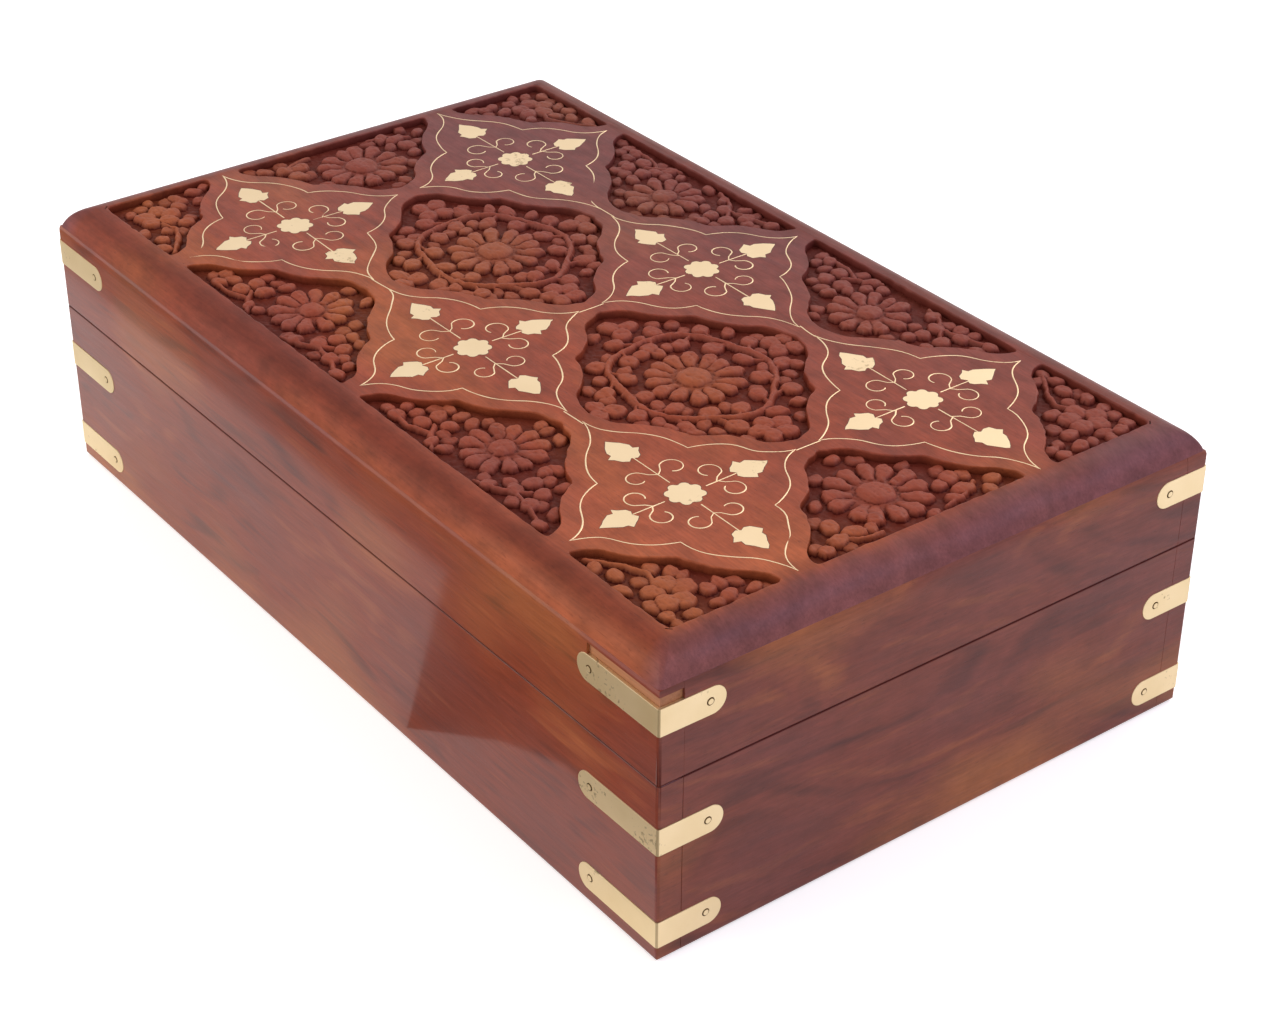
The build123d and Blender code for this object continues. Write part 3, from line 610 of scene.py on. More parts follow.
def value_noise(x: np.ndarray, y: np.ndarray, cell: float, seed: int) -> np.ndarray:
    """Smooth random values over a plane.

    Args:
        x: First coordinates.
        y: Second coordinates.
        cell: Size of one bump, in the coordinates' unit.
        seed: Chooses the pattern.

    Returns:
        Values from -1 to 1, as many as there are points.
    """
    side = 128
    lattice = np.random.default_rng(seed).uniform(-1, 1, (side, side))
    u, v = np.asarray(x) / cell, np.asarray(y) / cell
    i, j = np.floor(u).astype(int), np.floor(v).astype(int)
    s, t = u - i, v - j
    s, t = s * s * (3 - 2 * s), t * t * (3 - 2 * t)
    i, j, k, m = i % side, j % side, (i + 1) % side, (j + 1) % side
    return (lattice[i, j] * (1 - s) * (1 - t) + lattice[k, j] * s * (1 - t)
            + lattice[i, m] * (1 - s) * t + lattice[k, m] * s * t)


def uneven(base: np.ndarray | float, x: np.ndarray, y: np.ndarray, seed: int,
           bumps: Iterable[tuple[float, float, int]]) -> np.ndarray:
    """Add layers of noise to values.

    Args:
        base: Values to change.
        x: First coordinates.
        y: Second coordinates.
        seed: Chooses the patterns.
        bumps: Height of each layer, the size of its bumps and its own number, which is added to the seed.

    Returns:
        The changed values.
    """
    layers = (height * value_noise(x, y, cell, seed + number) for height, cell, number in bumps)
    return sum(layers, start=base)


def turned(points: np.ndarray, degrees: float) -> np.ndarray:
    """Turn points about the origin, counter-clockwise."""
    c, s = cos(radians(degrees)), sin(radians(degrees))
    return points @ np.array(((c, s), (-s, c)))


def smooth_wave(count: int, waves: int, amplitude: float, random: np.random.Generator) -> np.ndarray:
    """Closed random ripple for the line of a hand tool.

    Args:
        count: Number of points round the line.
        waves: Highest number of ripples round it.
        amplitude: Usual height of the ripple.
        random: Source of the ripple's phases.

    Returns:
        One height for each point.
    """
    angle = np.linspace(0, 2 * pi, count, endpoint=False)
    ripple = np.zeros(count)
    for wave in range(2, waves + 1):
        ripple += np.sin(wave * angle + random.uniform(0, 2 * pi)) * random.uniform(0.3, 1)
    return amplitude * ripple / (0.45 * waves ** 0.5)


# Layout of the top

@dataclass(frozen=True)
class Lattice:
    """Two rows of three brace-shaped tiles, in the same places as on the solid top board."""

    length: float
    width: float
    columns: int = 3
    rows: int = 2
    border: float = 9.6
    end_margin: float = 0.4
    side_margin: float = 3.0
    gap_along: float = 5.6
    gap_across: float = 6.8
    cusp: tuple[float, float] = (14.4, 12.4)
    swell_share: float = 0.55
    swell_rise: float = 1.5
    land: float = 4.4
    edge_play: float = 0.45

    @property
    def half_field(self) -> tuple[float, float]:
        """Half the length and half the width of the carved field."""
        return self.length / 2 - self.border, self.width / 2 - self.border

    @property
    def tile(self) -> tuple[float, float]:
        """Length and width of one tile, from tip to tip."""
        half_length, half_width = self.half_field
        along = 2 * (half_length - self.end_margin) - (self.columns - 1) * self.gap_along
        across = 2 * (half_width - self.side_margin) - (self.rows - 1) * self.gap_across
        return along / self.columns, across / self.rows

    @property
    def pitch(self) -> tuple[float, float]:
        """Distance between neighbouring tiles' middles, along and across."""
        return self.tile[0] + self.gap_along, self.tile[1] + self.gap_across

    def centres(self) -> list[tuple[float, float]]:
        """Middles of the tiles, column by column."""
        along, across = self.pitch
        return [((i - (self.columns - 1) / 2) * along, (j - (self.rows - 1) / 2) * across)
                for i in range(self.columns) for j in range(self.rows)]

    def quarter(self, steps: int) -> np.ndarray:
        """Outline of a tile's first quarter, from its side tip over the cusp to its top tip.

        Args:
            steps: Points along each of the four bows.

        Returns:
            Points about the tile's middle, without the top tip.
        """
        dip = self.swell_rise * (1 - self.swell_share) / self.swell_share
        cusp = np.array(self.cusp)
        points = []
        for tip, side in ((np.array((self.tile[0] / 2, 0)), 1), (np.array((0, self.tile[1] / 2)), -1)):
            turn = cusp + self.swell_share * (tip - cusp)
            swell = bow(cusp, turn, side * self.swell_rise, steps)
            flare = bow(turn, tip, -side * dip, steps)
            half = np.vstack([swell, flare, tip])
            points.append(half[::-1] if side > 0 else half)
        return np.vstack([points[0][:-1], points[1][:-1]])

    def outline(self, steps: int) -> np.ndarray:
        """Whole closed outline of a tile about its middle, counter-clockwise.

        Args:
            steps: Points along each bow.

        Returns:
            One row for each point.
        """
        first = self.quarter(steps)
        second = (first * (-1, 1))[::-1]
        top = np.array([(0, self.tile[1] / 2)])
        half = np.vstack([first, top, second[:-1]])
        return np.vstack([half, -half])


def bow(start: np.ndarray, end: np.ndarray, rise: float, steps: int) -> np.ndarray:
    """Points along an arc that stands off its chord, to the left of it for a positive rise.

    Returns:
        Points from the start up to, but without, the end.
    """
    chord = end - start
    length = float(np.hypot(*chord))
    left = np.array((-chord[1], chord[0])) / length
    radius = (length ** 2 / 4 + rise ** 2) / (2 * rise)
    centre = (start + end) / 2 + left * (rise - radius)
    first = start - centre
    turn = 2 * np.arcsin(length / 2 / abs(radius)) * (-1 if rise > 0 else 1)
    angles = np.linspace(0, turn, steps, endpoint=False)
    c, s = np.cos(angles)[:, None], np.sin(angles)[:, None]
    return centre + first * c + np.array((-first[1], first[0])) * s


@dataclass
class Pocket:
    """One sunk panel of the top, seen from a point in it that every part of its rim faces."""

    name: str
    centre: tuple[float, float]
    seed: int
    spacing: float = 0.75
    ripple: float = 0.1
    ripples: int = 42
    softening: int = 3
    widest: float = 62.0
    directions: int = 400
    rounds: int = 44
    limits: tuple[float, float] = (0.0, 0.0)
    angles: np.ndarray = field(default=None, repr=False)
    radii: np.ndarray = field(default=None, repr=False)

    def trace(self, lattice: Lattice, samples: np.ndarray) -> None:
        """Find the rim: where the land round the tiles, or the border of the field, begins.

        Args:
            lattice: Layout of the top.
            samples: Points close together on the tiles' outlines.
        """
        centre = np.array(self.centre)
        near = samples[np.hypot(*(samples - centre).T) < self.widest]
        angles = np.linspace(-pi, pi, self.directions, endpoint=False)
        heading = np.stack([np.cos(angles), np.sin(angles)], 1)
        reach = np.full(len(angles), 1.0)
        field_half = np.array(lattice.half_field)
        self.limits = tuple(field_half + lattice.edge_play)
        for _ in range(self.rounds):
            point = centre + heading * reach[:, None]
            gap = ((point[:, None, :] - near[None, :, :]) ** 2).sum(2).min(1) ** 0.5 - lattice.land
            edge = (field_half - np.abs(point)).min(1)
            reach += np.maximum(np.minimum(gap, edge), 0)
        self.resample(heading * reach[:, None])

    def resample(self, rim: np.ndarray) -> None:
        """Space the rim's points evenly and let them waver as a chisel's line does."""
        closed = np.vstack([rim, rim[:1]])
        run = np.concatenate([[0], np.cumsum(np.hypot(*np.diff(closed, axis=0).T))])
        count = int(run[-1] / self.spacing)
        at = np.linspace(0, run[-1], count, endpoint=False)
        even = np.stack([np.interp(at, run, closed[:, 0]), np.interp(at, run, closed[:, 1])], 1)
        random = np.random.default_rng(self.seed)
        wave = smooth_wave(count, self.ripples, self.ripple, random)
        soft = even
        for _ in range(self.softening):
            soft = (np.roll(soft, 1, 0) + 2 * soft + np.roll(soft, -1, 0)) / 4
        self.angles = np.arctan2(soft[:, 1], soft[:, 0])
        self.radii = np.hypot(*soft.T) + wave
        order = np.argsort(self.angles)
        self.angles, self.radii = self.angles[order], self.radii[order]

    def rim(self, offset: float) -> np.ndarray:
        """Rim of the panel, drawn out from its middle by an offset, in millimetres."""
        reach = self.radii + offset
        points = np.stack([self.centre[0] + reach * np.cos(self.angles),
                           self.centre[1] + reach * np.sin(self.angles)], 1)
        return np.clip(points, -np.array(self.limits), self.limits)

    def reach_at(self, x: np.ndarray, y: np.ndarray) -> np.ndarray:
        """How far each point about the panel's middle lies inside the rim, along its own direction."""
        return np.interp(np.arctan2(y, x), self.angles, self.radii, period=2 * pi) - np.hypot(x, y)


# Forms of the carving

def shoulder(share: np.ndarray, soft: float, crown: float) -> np.ndarray:
    """Section of a carved form from its middle at 0 to its rim at 1: crowned, with a round shoulder.

    Args:
        share: Place between the middle and the rim.
        soft: Width of the shoulder, as a share.
        crown: How far the crown falls towards the rim, as a share of the height.

    Returns:
        Height from 0 to 1, and 0 outside the rim.
    """
    inside = np.clip((1 - share) / soft, 0, 1)
    return (1 - crown * np.clip(share, 0, 1) ** 2) * np.sqrt(np.clip(1 - (1 - inside) ** 2, 0, 1))


@dataclass(frozen=True)
class Lobe:
    """Rounded form on the ground of a panel: a leaf, a disc or a petal of a small flower."""

    x: float
    y: float
    half_length: float
    half_width: float
    turn: float
    top: float
    pointed: float = 0.0
    lean: float = 0.0
    soft: float = 0.22
    crown: float = 0.26

    def height(self, px: np.ndarray, py: np.ndarray) -> np.ndarray:
        """Height above the panel's ground at each point."""
        c, s = cos(radians(self.turn)), sin(radians(self.turn))
        dx, dy = px - self.x, py - self.y
        u = (dx * c + dy * s) / self.half_length
        v = (dy * c - dx * s) / self.half_width
        oval = np.hypot(u, v)
        vesica = np.abs(v) + u * u
        ahead = np.clip(u * 2, 0, 1) * self.pointed
        body = shoulder(oval * (1 - ahead) + vesica * ahead, self.soft, self.crown)
        return self.top * (1 - self.lean * u) * body


@dataclass(frozen=True)
class Petal:
    """Petal of a large flower, widest near its soft point."""

    x: float
    y: float
    turn: float
    root: float
    reach: float
    half_width: float
    top: float

    def height(self, px: np.ndarray, py: np.ndarray) -> np.ndarray:
        """Height above the panel's ground at each point."""
        c, s = cos(radians(self.turn)), sin(radians(self.turn))
        along = (px - self.x) * c + (py - self.y) * s
        across = (py - self.y) * c - (px - self.x) * s
        share = (along - self.root) / (self.reach - self.root)
        half = self.half_width * np.interp(share, (0, 0.35, 0.65, 0.87, 1), (0.42, 0.75, 1, 0.8, 0.02))
        rise = np.interp(share, (0, 0.55, 0.85, 1), (0.62, 1, 0.95, 0.7))
        inside = (share > 0) & (share < 1)
        return np.where(inside, self.top * rise * shoulder(np.abs(across) / half, soft=0.3, crown=0.3), 0)


@dataclass(frozen=True)
class Stem:
    """Round-backed stem along a line of points."""

    points: tuple[tuple[float, float], ...]
    half_width: float
    top: float

    def height(self, px: np.ndarray, py: np.ndarray) -> np.ndarray:
        """Height above the panel's ground at each point."""
        near = np.full(px.shape, 1e9)
        for (ax, ay), (bx, by) in zip(self.points, self.points[1:]):
            run = (bx - ax) ** 2 + (by - ay) ** 2
            share = np.clip(((px - ax) * (bx - ax) + (py - ay) * (by - ay)) / run, 0, 1)
            away = np.hypot(px - ax - share * (bx - ax), py - ay - share * (by - ay))
            near = np.minimum(near, away)
        return self.top * shoulder(near / self.half_width, soft=0.8, crown=0.3)


def polar(x: float, y: float, reach: float, degrees: float) -> tuple[float, float]:
    """Point at a distance and direction from another."""
    return x + reach * cos(radians(degrees)), y + reach * sin(radians(degrees))


@dataclass
class Carver:
    """Draws the flowers, stems and leaves of one panel with the small differences of hand work."""

    random: np.random.Generator
    forms: list = field(default_factory=list)
    clear: float = 0.0
    fill_spacing: float = 3.8
    fill_margin: float = 1.6
    probe_reach: float = 1.3
    bare_height: float = 0.4
    enough_covered: int = 3

    def about(self, value: float, spread: float) -> float:
        """The value, changed at random by up to a share of itself."""
        return value * (1 + self.random.uniform(-spread, spread))

    def near(self, value: float, spread: float) -> float:
        """The value, changed at random by up to an amount."""
        return value + self.random.uniform(-spread, spread)

    def daisy(self, x: float, y: float, count: int, radius: float, disc: float) -> None:
        """Large flower: a domed disc inside a ring of petals."""
        first = self.random.uniform(0, 360 / count)
        spacing = 2 * pi * (radius - 2) / count
        for index in range(count):
            self.forms.append(Petal(
                x, y, first + 360 * (index + self.random.uniform(-0.11, 0.11)) / count, 1.15 * disc,
                self.about(radius, 0.06), self.about(0.48, 0.07) * spacing, self.about(1.6, 0.1)))
        self.forms.append(Lobe(x, y, 0.66 * radius, 0.66 * radius, 0, 0.8, soft=0.6, crown=0.3))
        self.forms.append(Lobe(x, y, disc, disc, 0, 1.95, soft=0.4, crown=0.22))
        self.clear = radius + self.fill_margin

    def flower(self, x: float, y: float, count: int, spread: float, radius: float, turn: float) -> None:
        """Small flower of round petals that meet in deep cracks."""
        for index in range(count):
            angle = turn + 360 * index / count + self.near(0, 6)
            px, py = polar(x, y, self.about(spread, 0.08), angle)
            self.forms.append(Lobe(px, py, self.about(radius * 1.12, 0.07), self.about(radius, 0.07), angle,
                                   self.about(1.6, 0.08), 0.0, self.near(0, 0.12)))

    def leaf(self, x: float, y: float, turn: float, length: float = 5.6, width: float = 4.6,
             top: float = 1.5) -> None:
        """Small oval leaf with a soft point."""
        self.forms.append(Lobe(self.near(x, 0.3), self.near(y, 0.3), self.about(length / 2, 0.12),
                               self.about(width / 2, 0.12), self.near(turn, 14), self.about(top, 0.1),
                               self.near(0.5, 0.3), self.near(0, 0.25)))

    def fill(self, reach_at: Callable, low: np.ndarray, high: np.ndarray) -> None:
        """Set small leaves on whatever ground is still bare, as the carver does.

        Args:
            reach_at: How far inside the rim a point lies.
            low: Lowest corner of the panel, about its middle.
            high: Highest corner.
        """
        spacing = self.fill_spacing
        ring = np.linspace(0, 2 * pi, 8, endpoint=False)
        probe_x = np.append(self.probe_reach * np.cos(ring), 0)
        probe_y = np.append(self.probe_reach * np.sin(ring), 0)
        for row in range(int((high[1] - low[1]) / spacing) + 1):
            for column in range(int((high[0] - low[0]) / spacing) + 1):
                x = self.near(low[0] + spacing * (column + 0.5 * (row % 2)), 0.7)
                y = self.near(low[1] + spacing * row, 0.7)
                turn, top = self.random.uniform(0, 360), self.random.uniform(0.9, 1.4)
                inside = reach_at(np.array([x]), np.array([y]))[0]
                if inside < self.fill_margin or hypot(x, y) < self.clear:
                    continue
                covered = sum((form.height(x + probe_x, y + probe_y) > self.bare_height).sum()
                              for form in self.forms)
                if covered < self.enough_covered:
                    self.leaf(x, y, turn, 4.4, 3.5, top)

    def stem(self, points: Iterable[tuple[float, float]], half_width: float = 0.75, top: float = 1.3) -> None:
        """Stem through the given points."""
        self.forms.append(Stem(tuple(points), half_width, top))

    def round_panel(self, petals: int, tip_petals: tuple[int, int, int, int]) -> None:
        """Daisy in a ring of leafy stem, with a small flower at each of the four ends.

        Args:
            petals: Petals of the daisy.
            tip_petals: Petals of the flowers at the right, back, left and front ends.
        """
        ring_along, ring_across, gap, leaves = 20.5, 18.0, 3.5, 12
        self.daisy(0, 0, petals, 12.0, 4.5)
        ring = []
        for step in range(61):
            angle = radians(6 * step)
            wave = 0.8 * sin(5 * angle + 1)
            ring.append(((ring_along + wave) * cos(angle), (ring_across + wave) * sin(angle)))
        self.stem(ring, 0.95, 1.6)
        for index in range(leaves):
            for side, shift in ((-1, 0.0), (1, 0.5)):
                angle = 360 * (index + shift) / leaves
                c, s = cos(radians(angle)), sin(radians(angle))
                reach = side * gap
                x, y = (ring_along + reach) * c, (ring_across + reach) * s
                self.leaf(x, y, angle + side * 35)
                back = radians(angle - 9)
                self.stem(((ring_along * cos(back), ring_across * sin(back)), (x, y)), 0.6, 1.25)
        for (turn, reach), count in zip(((0, ring_along), (90, ring_across), (180, ring_along),
                                         (270, ring_across)), tip_petals):
            x, y = polar(0, 0, reach + 8.0, turn)
            self.flower(x, y, count, 3.1 if count > 3 else 2.6, 2.5, turn + 36)

    def half_panel(self, flip: int) -> None:
        """Daisy with a spray on each side, over a straight edge at the front.

        Args:
            flip: 1 with the straight edge towards -Y, or -1 turned over.
        """
        self.daisy(0, 0, 12, 10.5, 3.4)
        sprays = (
            (1, ((15.9, -2.8), (20.8, -3.9), (15.4, -7.4), (22.8, -8.6)), (10.4, -11.0), (30.0, -11.4),
             ((7.5, -12.6), (13.0, -10.8), (17.5, -7.2), (19.0, -5.5)),
             ((17.0, -8.2), (24.0, -9.6), (29.0, -11.2))),
            (-1, ((14.8, -4.0), (20.0, -3.4), (19.6, -7.8)), (11.4, -10.8), (26.0, -10.3),
             ((9.0, -12.4), (13.5, -9.8), (17.0, -6.6)), ((15.0, -9.0), (20.5, -11.2), (25.0, -11.0))),
        )
        for side, lobes, low_leaf, bud, first, second in sprays:
            for index, (x, y) in enumerate(lobes):
                self.forms.append(Lobe(
                    side * self.near(x, 0.2), flip * self.near(y, 0.2), self.about(2.45, 0.08),
                    self.about(2.1, 0.08), 70 + 50 * index, self.about(1.6, 0.06)))
            self.leaf(side * low_leaf[0], flip * low_leaf[1], 60 * side * flip, 4.6, 3.4)
            self.leaf(side * bud[0], flip * bud[1], -20 * side * flip, 4.6, 3.8)
            for line in (first, second):
                self.stem((side * x, flip * y) for x, y in line)

    def end_panel(self, flip: int) -> None:
        """Large daisy with a few petals and leaves above and below, over a straight edge at the end.

        Args:
            flip: 1 with the straight edge towards +X, or -1 turned over.
        """
        self.daisy(0, 0, 13, 12.0, 4.5)
        for side, lobes, leaves in (
                (1, ((9.3, 16.4, 80), (4.2, 16.9, 150)), ((9.8, 24.0, 60), (11.4, 12.6, 40))),
                (-1, ((8.6, -13.8, 60), (4.0, -16.6, 150), (9.4, -18.2, 110)), ((11.4, -23.0, -60),))):
            for x, y, turn in lobes:
                self.forms.append(Lobe(flip * self.near(x, 0.2), self.near(y, 0.2), self.about(2.9, 0.08),
                                       self.about(2.1, 0.08), turn * flip, self.about(1.6, 0.06)))
            for x, y, turn in leaves:
                self.leaf(flip * x, y, turn * flip, 4.8, 3.6)
            self.stem((flip * x, side * y) for x, y in ((12.6, 9.0), (11.4, 15.0), (8.4, 20.0)))

    def corner_panel(self, along: int, across: int) -> None:
        """Small flower with leaves and a curved stem, in the corner of the field.

        Args:
            along: 1 in a corner towards +X, or -1.
            across: 1 in a corner towards +Y, or -1.
        """
        self.flower(0, 0, 5, 3.4, 2.6, 18)
        for x, y, turn in ((-11.5, 5.2, 10), (-16.5, 7.2, 30), (7.6, -8.8, 80), (-6.6, 7.6, -30),
                           (8.4, -14.6, 80), (-6.0, -4.6, 40), (3.0, -7.4, 60)):
            self.leaf(along * x, across * y, turn * along * across, 4.8, 3.6)
        self.stem((along * x, across * y) for x, y in ((-20.0, 6.6), (-13.0, 1.5), (-8.0, -0.5), (-4.0, 1.0)))


@dataclass
class LidTop:
    """Top board of the lid with its bullnose, its twelve sunk panels and the carving in them."""

    lattice: Lattice
    corner_x: float
    corner_y: float
    top: float
    bottom: float
    bullnose: float = 9 * MM
    bullnose_steps: int = 12
    mitre_ease: float = 0.9 * MM
    pocket_depth: float = 2.3 * MM
    ground_depth: float = 2.0 * MM
    rim_round: float = 0.4 * MM
    rim_steps: int = 4
    wall_draft: float = 0.15
    # painted shade of the panels' walls at their foot
    wall_shade: float = 0.85
    side_inset: float = 14.0
    end_inset: float = 15.0
    corner_inset: tuple[float, float] = (11.0, 9.0)
    grid_step: float = 0.23
    ground_bumps: tuple[tuple[float, float, int], ...] = ((0.09, 0.9, 0), (0.06, 0.45, 1))
    bend_along: tuple[tuple[float, float, int], ...] = ((0.3, 2.1, 2), (0.12, 0.9, 6))
    bend_across: tuple[tuple[float, float, int], ...] = ((0.3, 2.1, 3), (0.12, 0.9, 7))
    facets: tuple[tuple[float, float, int], ...] = ((0.13, 1.3, 4), (0.08, 0.6, 5))
    lowest: float = 0.1
    headroom: float = 0.05
    # painted shade of the carving, in the hollows between forms and low on the ground
    shade_blur_reach: float = 1.15
    shade_gain: float = 5.0
    shade_depths: tuple[float, float] = (0.75, 1.95)
    depth_shade: float = 0.75
    overlap: float = 0.5
    smoothing: float = 0.35
    floor_sink: float = 0.35 * MM
    seed: int = 11
    pockets: list[Pocket] = field(default_factory=list)

    def plan(self) -> None:
        """Place the twelve panels between the tiles and trace their rims."""
        lattice = self.lattice
        half_length, half_width = lattice.half_field
        middle = lattice.pitch[0] / 2
        back = half_width - self.side_inset
        end = half_length - self.end_inset
        corner_x, corner_y = half_length - self.corner_inset[0], half_width - self.corner_inset[1]
        kinds = (("middle", middle, 0.0, 3), ("front", middle, -back, 13), ("back", middle, back, 23),
                 ("end", end, 0.0, 33), ("corner_front", corner_x, -corner_y, 41),
                 ("corner_back", corner_x, corner_y, 45))
        for side, across in (("left", -1), ("right", 1)):
            for kind, x, y, seed in kinds:
                self.pockets.append(Pocket(f"carved_panel_{kind}_{side}", (across * x, y), seed + across))
        outline = lattice.outline(10)
        samples = np.vstack([outline + centre for centre in lattice.centres()])
        for pocket in self.pockets:
            pocket.trace(lattice, samples)

    def build_board(self, wood: Material) -> Object:
        """Make the board: the land between the panels, their walls and the rounded edge.

        Returns:
            The board.
        """
        bm = bmesh.new()
        # layer of painted shade, which the panels' walls fill in
        bm.verts.layers.float.new("painted_shade")
        flat_x, flat_y = self.corner_x - self.bullnose, self.corner_y - self.bullnose
        edge = self.loop(bm, [(sx * flat_x, sy * flat_y) for sx, sy in CORNERS], self.top)
        land = list(edge)
        rims = []
        for pocket in self.pockets:
            rim = self.loop(bm, pocket.rim(self.rim_round / MM) * MM, self.top)
            land += rim
            rims.append(rim)
        bmesh.ops.triangle_fill(bm, edges=land, use_beauty=True, normal=(0, 0, 1))
        for pocket, rim in zip(self.pockets, rims):
            self.sink_pocket(bm, pocket, rim)
        self.round_edge(bm, edge, flat_x, flat_y)
        bmesh.ops.recalc_face_normals(bm, faces=bm.faces)
        return finished_piece("lid_top_board_carved", bm, wood, "lid", ["lid_top_board"])

    @staticmethod
    def loop(bm: BMesh, points: Iterable, z: float) -> list[BMEdge]:
        """Add a closed line of edges at one height.

        Returns:
            The edges, in order.
        """
        verts = [bm.verts.new((x, y, z)) for x, y in points]
        return [bm.edges.new((a, b)) for a, b in zip(verts, verts[1:] + verts[:1])]

    def sink_pocket(self, bm: BMesh, pocket: Pocket, rim: list[BMEdge]) -> None:
        """Turn the land's edge down into a panel, with a worn rim, a wall and a floor."""
        levels = []
        for step in range(1, self.rim_steps + 1):
            angle = pi / 2 * step / self.rim_steps
            levels.append((self.rim_round / MM * (1 - sin(angle)), self.rim_round * (1 - cos(angle))))
        levels.append((-self.wall_draft, self.pocket_depth))
        layer = bm.verts.layers.float["painted_shade"]
        for offset, depth in levels:
            lower = self.loop(bm, pocket.rim(offset) * MM, self.top - depth)
            # painted shade: the wall turns darker the deeper it goes
            for edge in lower:
                edge.verts[0][layer] = min(self.wall_shade, depth / self.ground_depth)
            bmesh.ops.bridge_loops(bm, edges=rim + lower)
            rim = lower
        bmesh.ops.contextual_create(bm, geom=rim)

    def round_edge(self, bm: BMesh, edge: list[BMEdge], flat_x: float, flat_y: float) -> None:
        """Carry the board's flat out over the bullnose to its underside, with eased mitres."""
        mitres = []
        drop = self.top - self.bottom
        last = np.arccos(1 - drop / self.bullnose)
        for step in range(1, self.bullnose_steps + 1):
            angle = last * step / self.bullnose_steps
            out, z = self.bullnose * sin(angle), self.top - self.bullnose * (1 - cos(angle))
            lower = self.loop(bm, [(sx * (flat_x + out), sy * (flat_y + out)) for sx, sy in CORNERS], z)
            faces = bmesh.ops.bridge_loops(bm, edges=edge + lower)["faces"]
            mitres += [e for f in faces for e in f.edges if e not in edge and e not in lower]
            edge = lower
        bmesh.ops.contextual_create(bm, geom=edge)
        round_over(bm, list(set(mitres)), self.mitre_ease, 3)

    def build_panels(self, wood: Material) -> list[Object]:
        """Carve every panel.

        Returns:
            One piece for each panel.
        """
        return [self.carve(pocket, wood) for pocket in self.pockets]

    def forms_of(self, pocket: Pocket) -> list:
        """Draw one panel's flowers, stems and leaves.

        Returns:
            The forms, about the panel's middle.
        """
        carver = Carver(np.random.default_rng(self.seed + pocket.seed))
        along = 1 if pocket.centre[0] > 0 else -1
        across = 1 if pocket.centre[1] > 0 else -1
        if "middle" in pocket.name:
            carver.round_panel(14, (5, 4, 3, 3) if along > 0 else (5, 3, 4, 3))
        elif "corner" in pocket.name:
            carver.corner_panel(along, across)
        elif "end" in pocket.name:
            carver.end_panel(along)
        else:
            carver.half_panel(-across)
        rim = pocket.rim(0) - pocket.centre
        carver.fill(pocket.reach_at, rim.min(0), rim.max(0))
        return carver.forms

    def relief(self, pocket: Pocket, x: np.ndarray, y: np.ndarray) -> np.ndarray:
        """Height of a panel's carving below the land.

        Args:
            pocket: The panel.
            x: Places along the box from the panel's middle, in millimetres.
            y: Places across it.

        Returns:
            Heights in millimetres, all negative.
        """
        ground = self.ground_depth / MM
        height = np.maximum(uneven(0.0, x, y, pocket.seed, self.ground_bumps), -self.lowest)
        # hand pressure makes every form a little uneven, so the drawing itself is bent slightly
        bent_x = uneven(x, x, y, pocket.seed, self.bend_along)
        bent_y = uneven(y, x, y, pocket.seed, self.bend_across)
        for form in self.forms_of(pocket):
            height = np.maximum(height, form.height(bent_x, bent_y))
        facets = uneven(0.0, x, y, pocket.seed, self.facets)
        return np.minimum(height + facets, ground - self.headroom) - ground

    def shade_shares(self, points: np.ndarray, heights: np.ndarray) -> np.ndarray:
        """Painted shade at each point of a panel's grid, from 0 to 1: deeper in the hollows between forms and
        low on the ground.

        Returns:
            One share for each point.
        """
        columns = len(np.unique(points[:, 0].round(5)))
        order = np.lexsort((points[:, 1], points[:, 0]))
        field_heights = heights[order].reshape(columns, -1)
        reach = max(1, int(self.shade_blur_reach / self.grid_step / 2))
        shifts = range(-reach, reach + 1)
        blurred = field_heights
        for axis in (0, 1):
            blurred = sum(np.roll(blurred, shift, axis) for shift in shifts) / len(shifts)
        shares = np.empty(len(points))
        shares[order] = np.clip((blurred - field_heights).ravel() * self.shade_gain, 0, 1)
        depth = np.interp(-heights, self.shade_depths, (0.0, self.depth_shade))
        return np.maximum(shares, depth)

    def carve(self, pocket: Pocket, wood: Material) -> Object:
        """Make one panel's carved ground as a closed piece that fills the bottom of its pocket.

        Returns:
            The piece.
        """
        rim = pocket.rim(self.overlap) - pocket.centre
        low, high = rim.min(0), rim.max(0)
        middle, size = (low + high) / 2, high - low
        counts = [int(s / self.grid_step) for s in size]
        bm = bmesh.new()
        place = Matrix.Translation((*middle, 0)) @ Matrix.Diagonal((size[0] / 2, size[1] / 2, 1, 1))
        bmesh.ops.create_grid(bm, x_segments=counts[0], y_segments=counts[1], size=1, matrix=place)
        points = np.array([v.co[:2] for v in bm.verts])
        heights = self.relief(pocket, points[:, 0], points[:, 1])
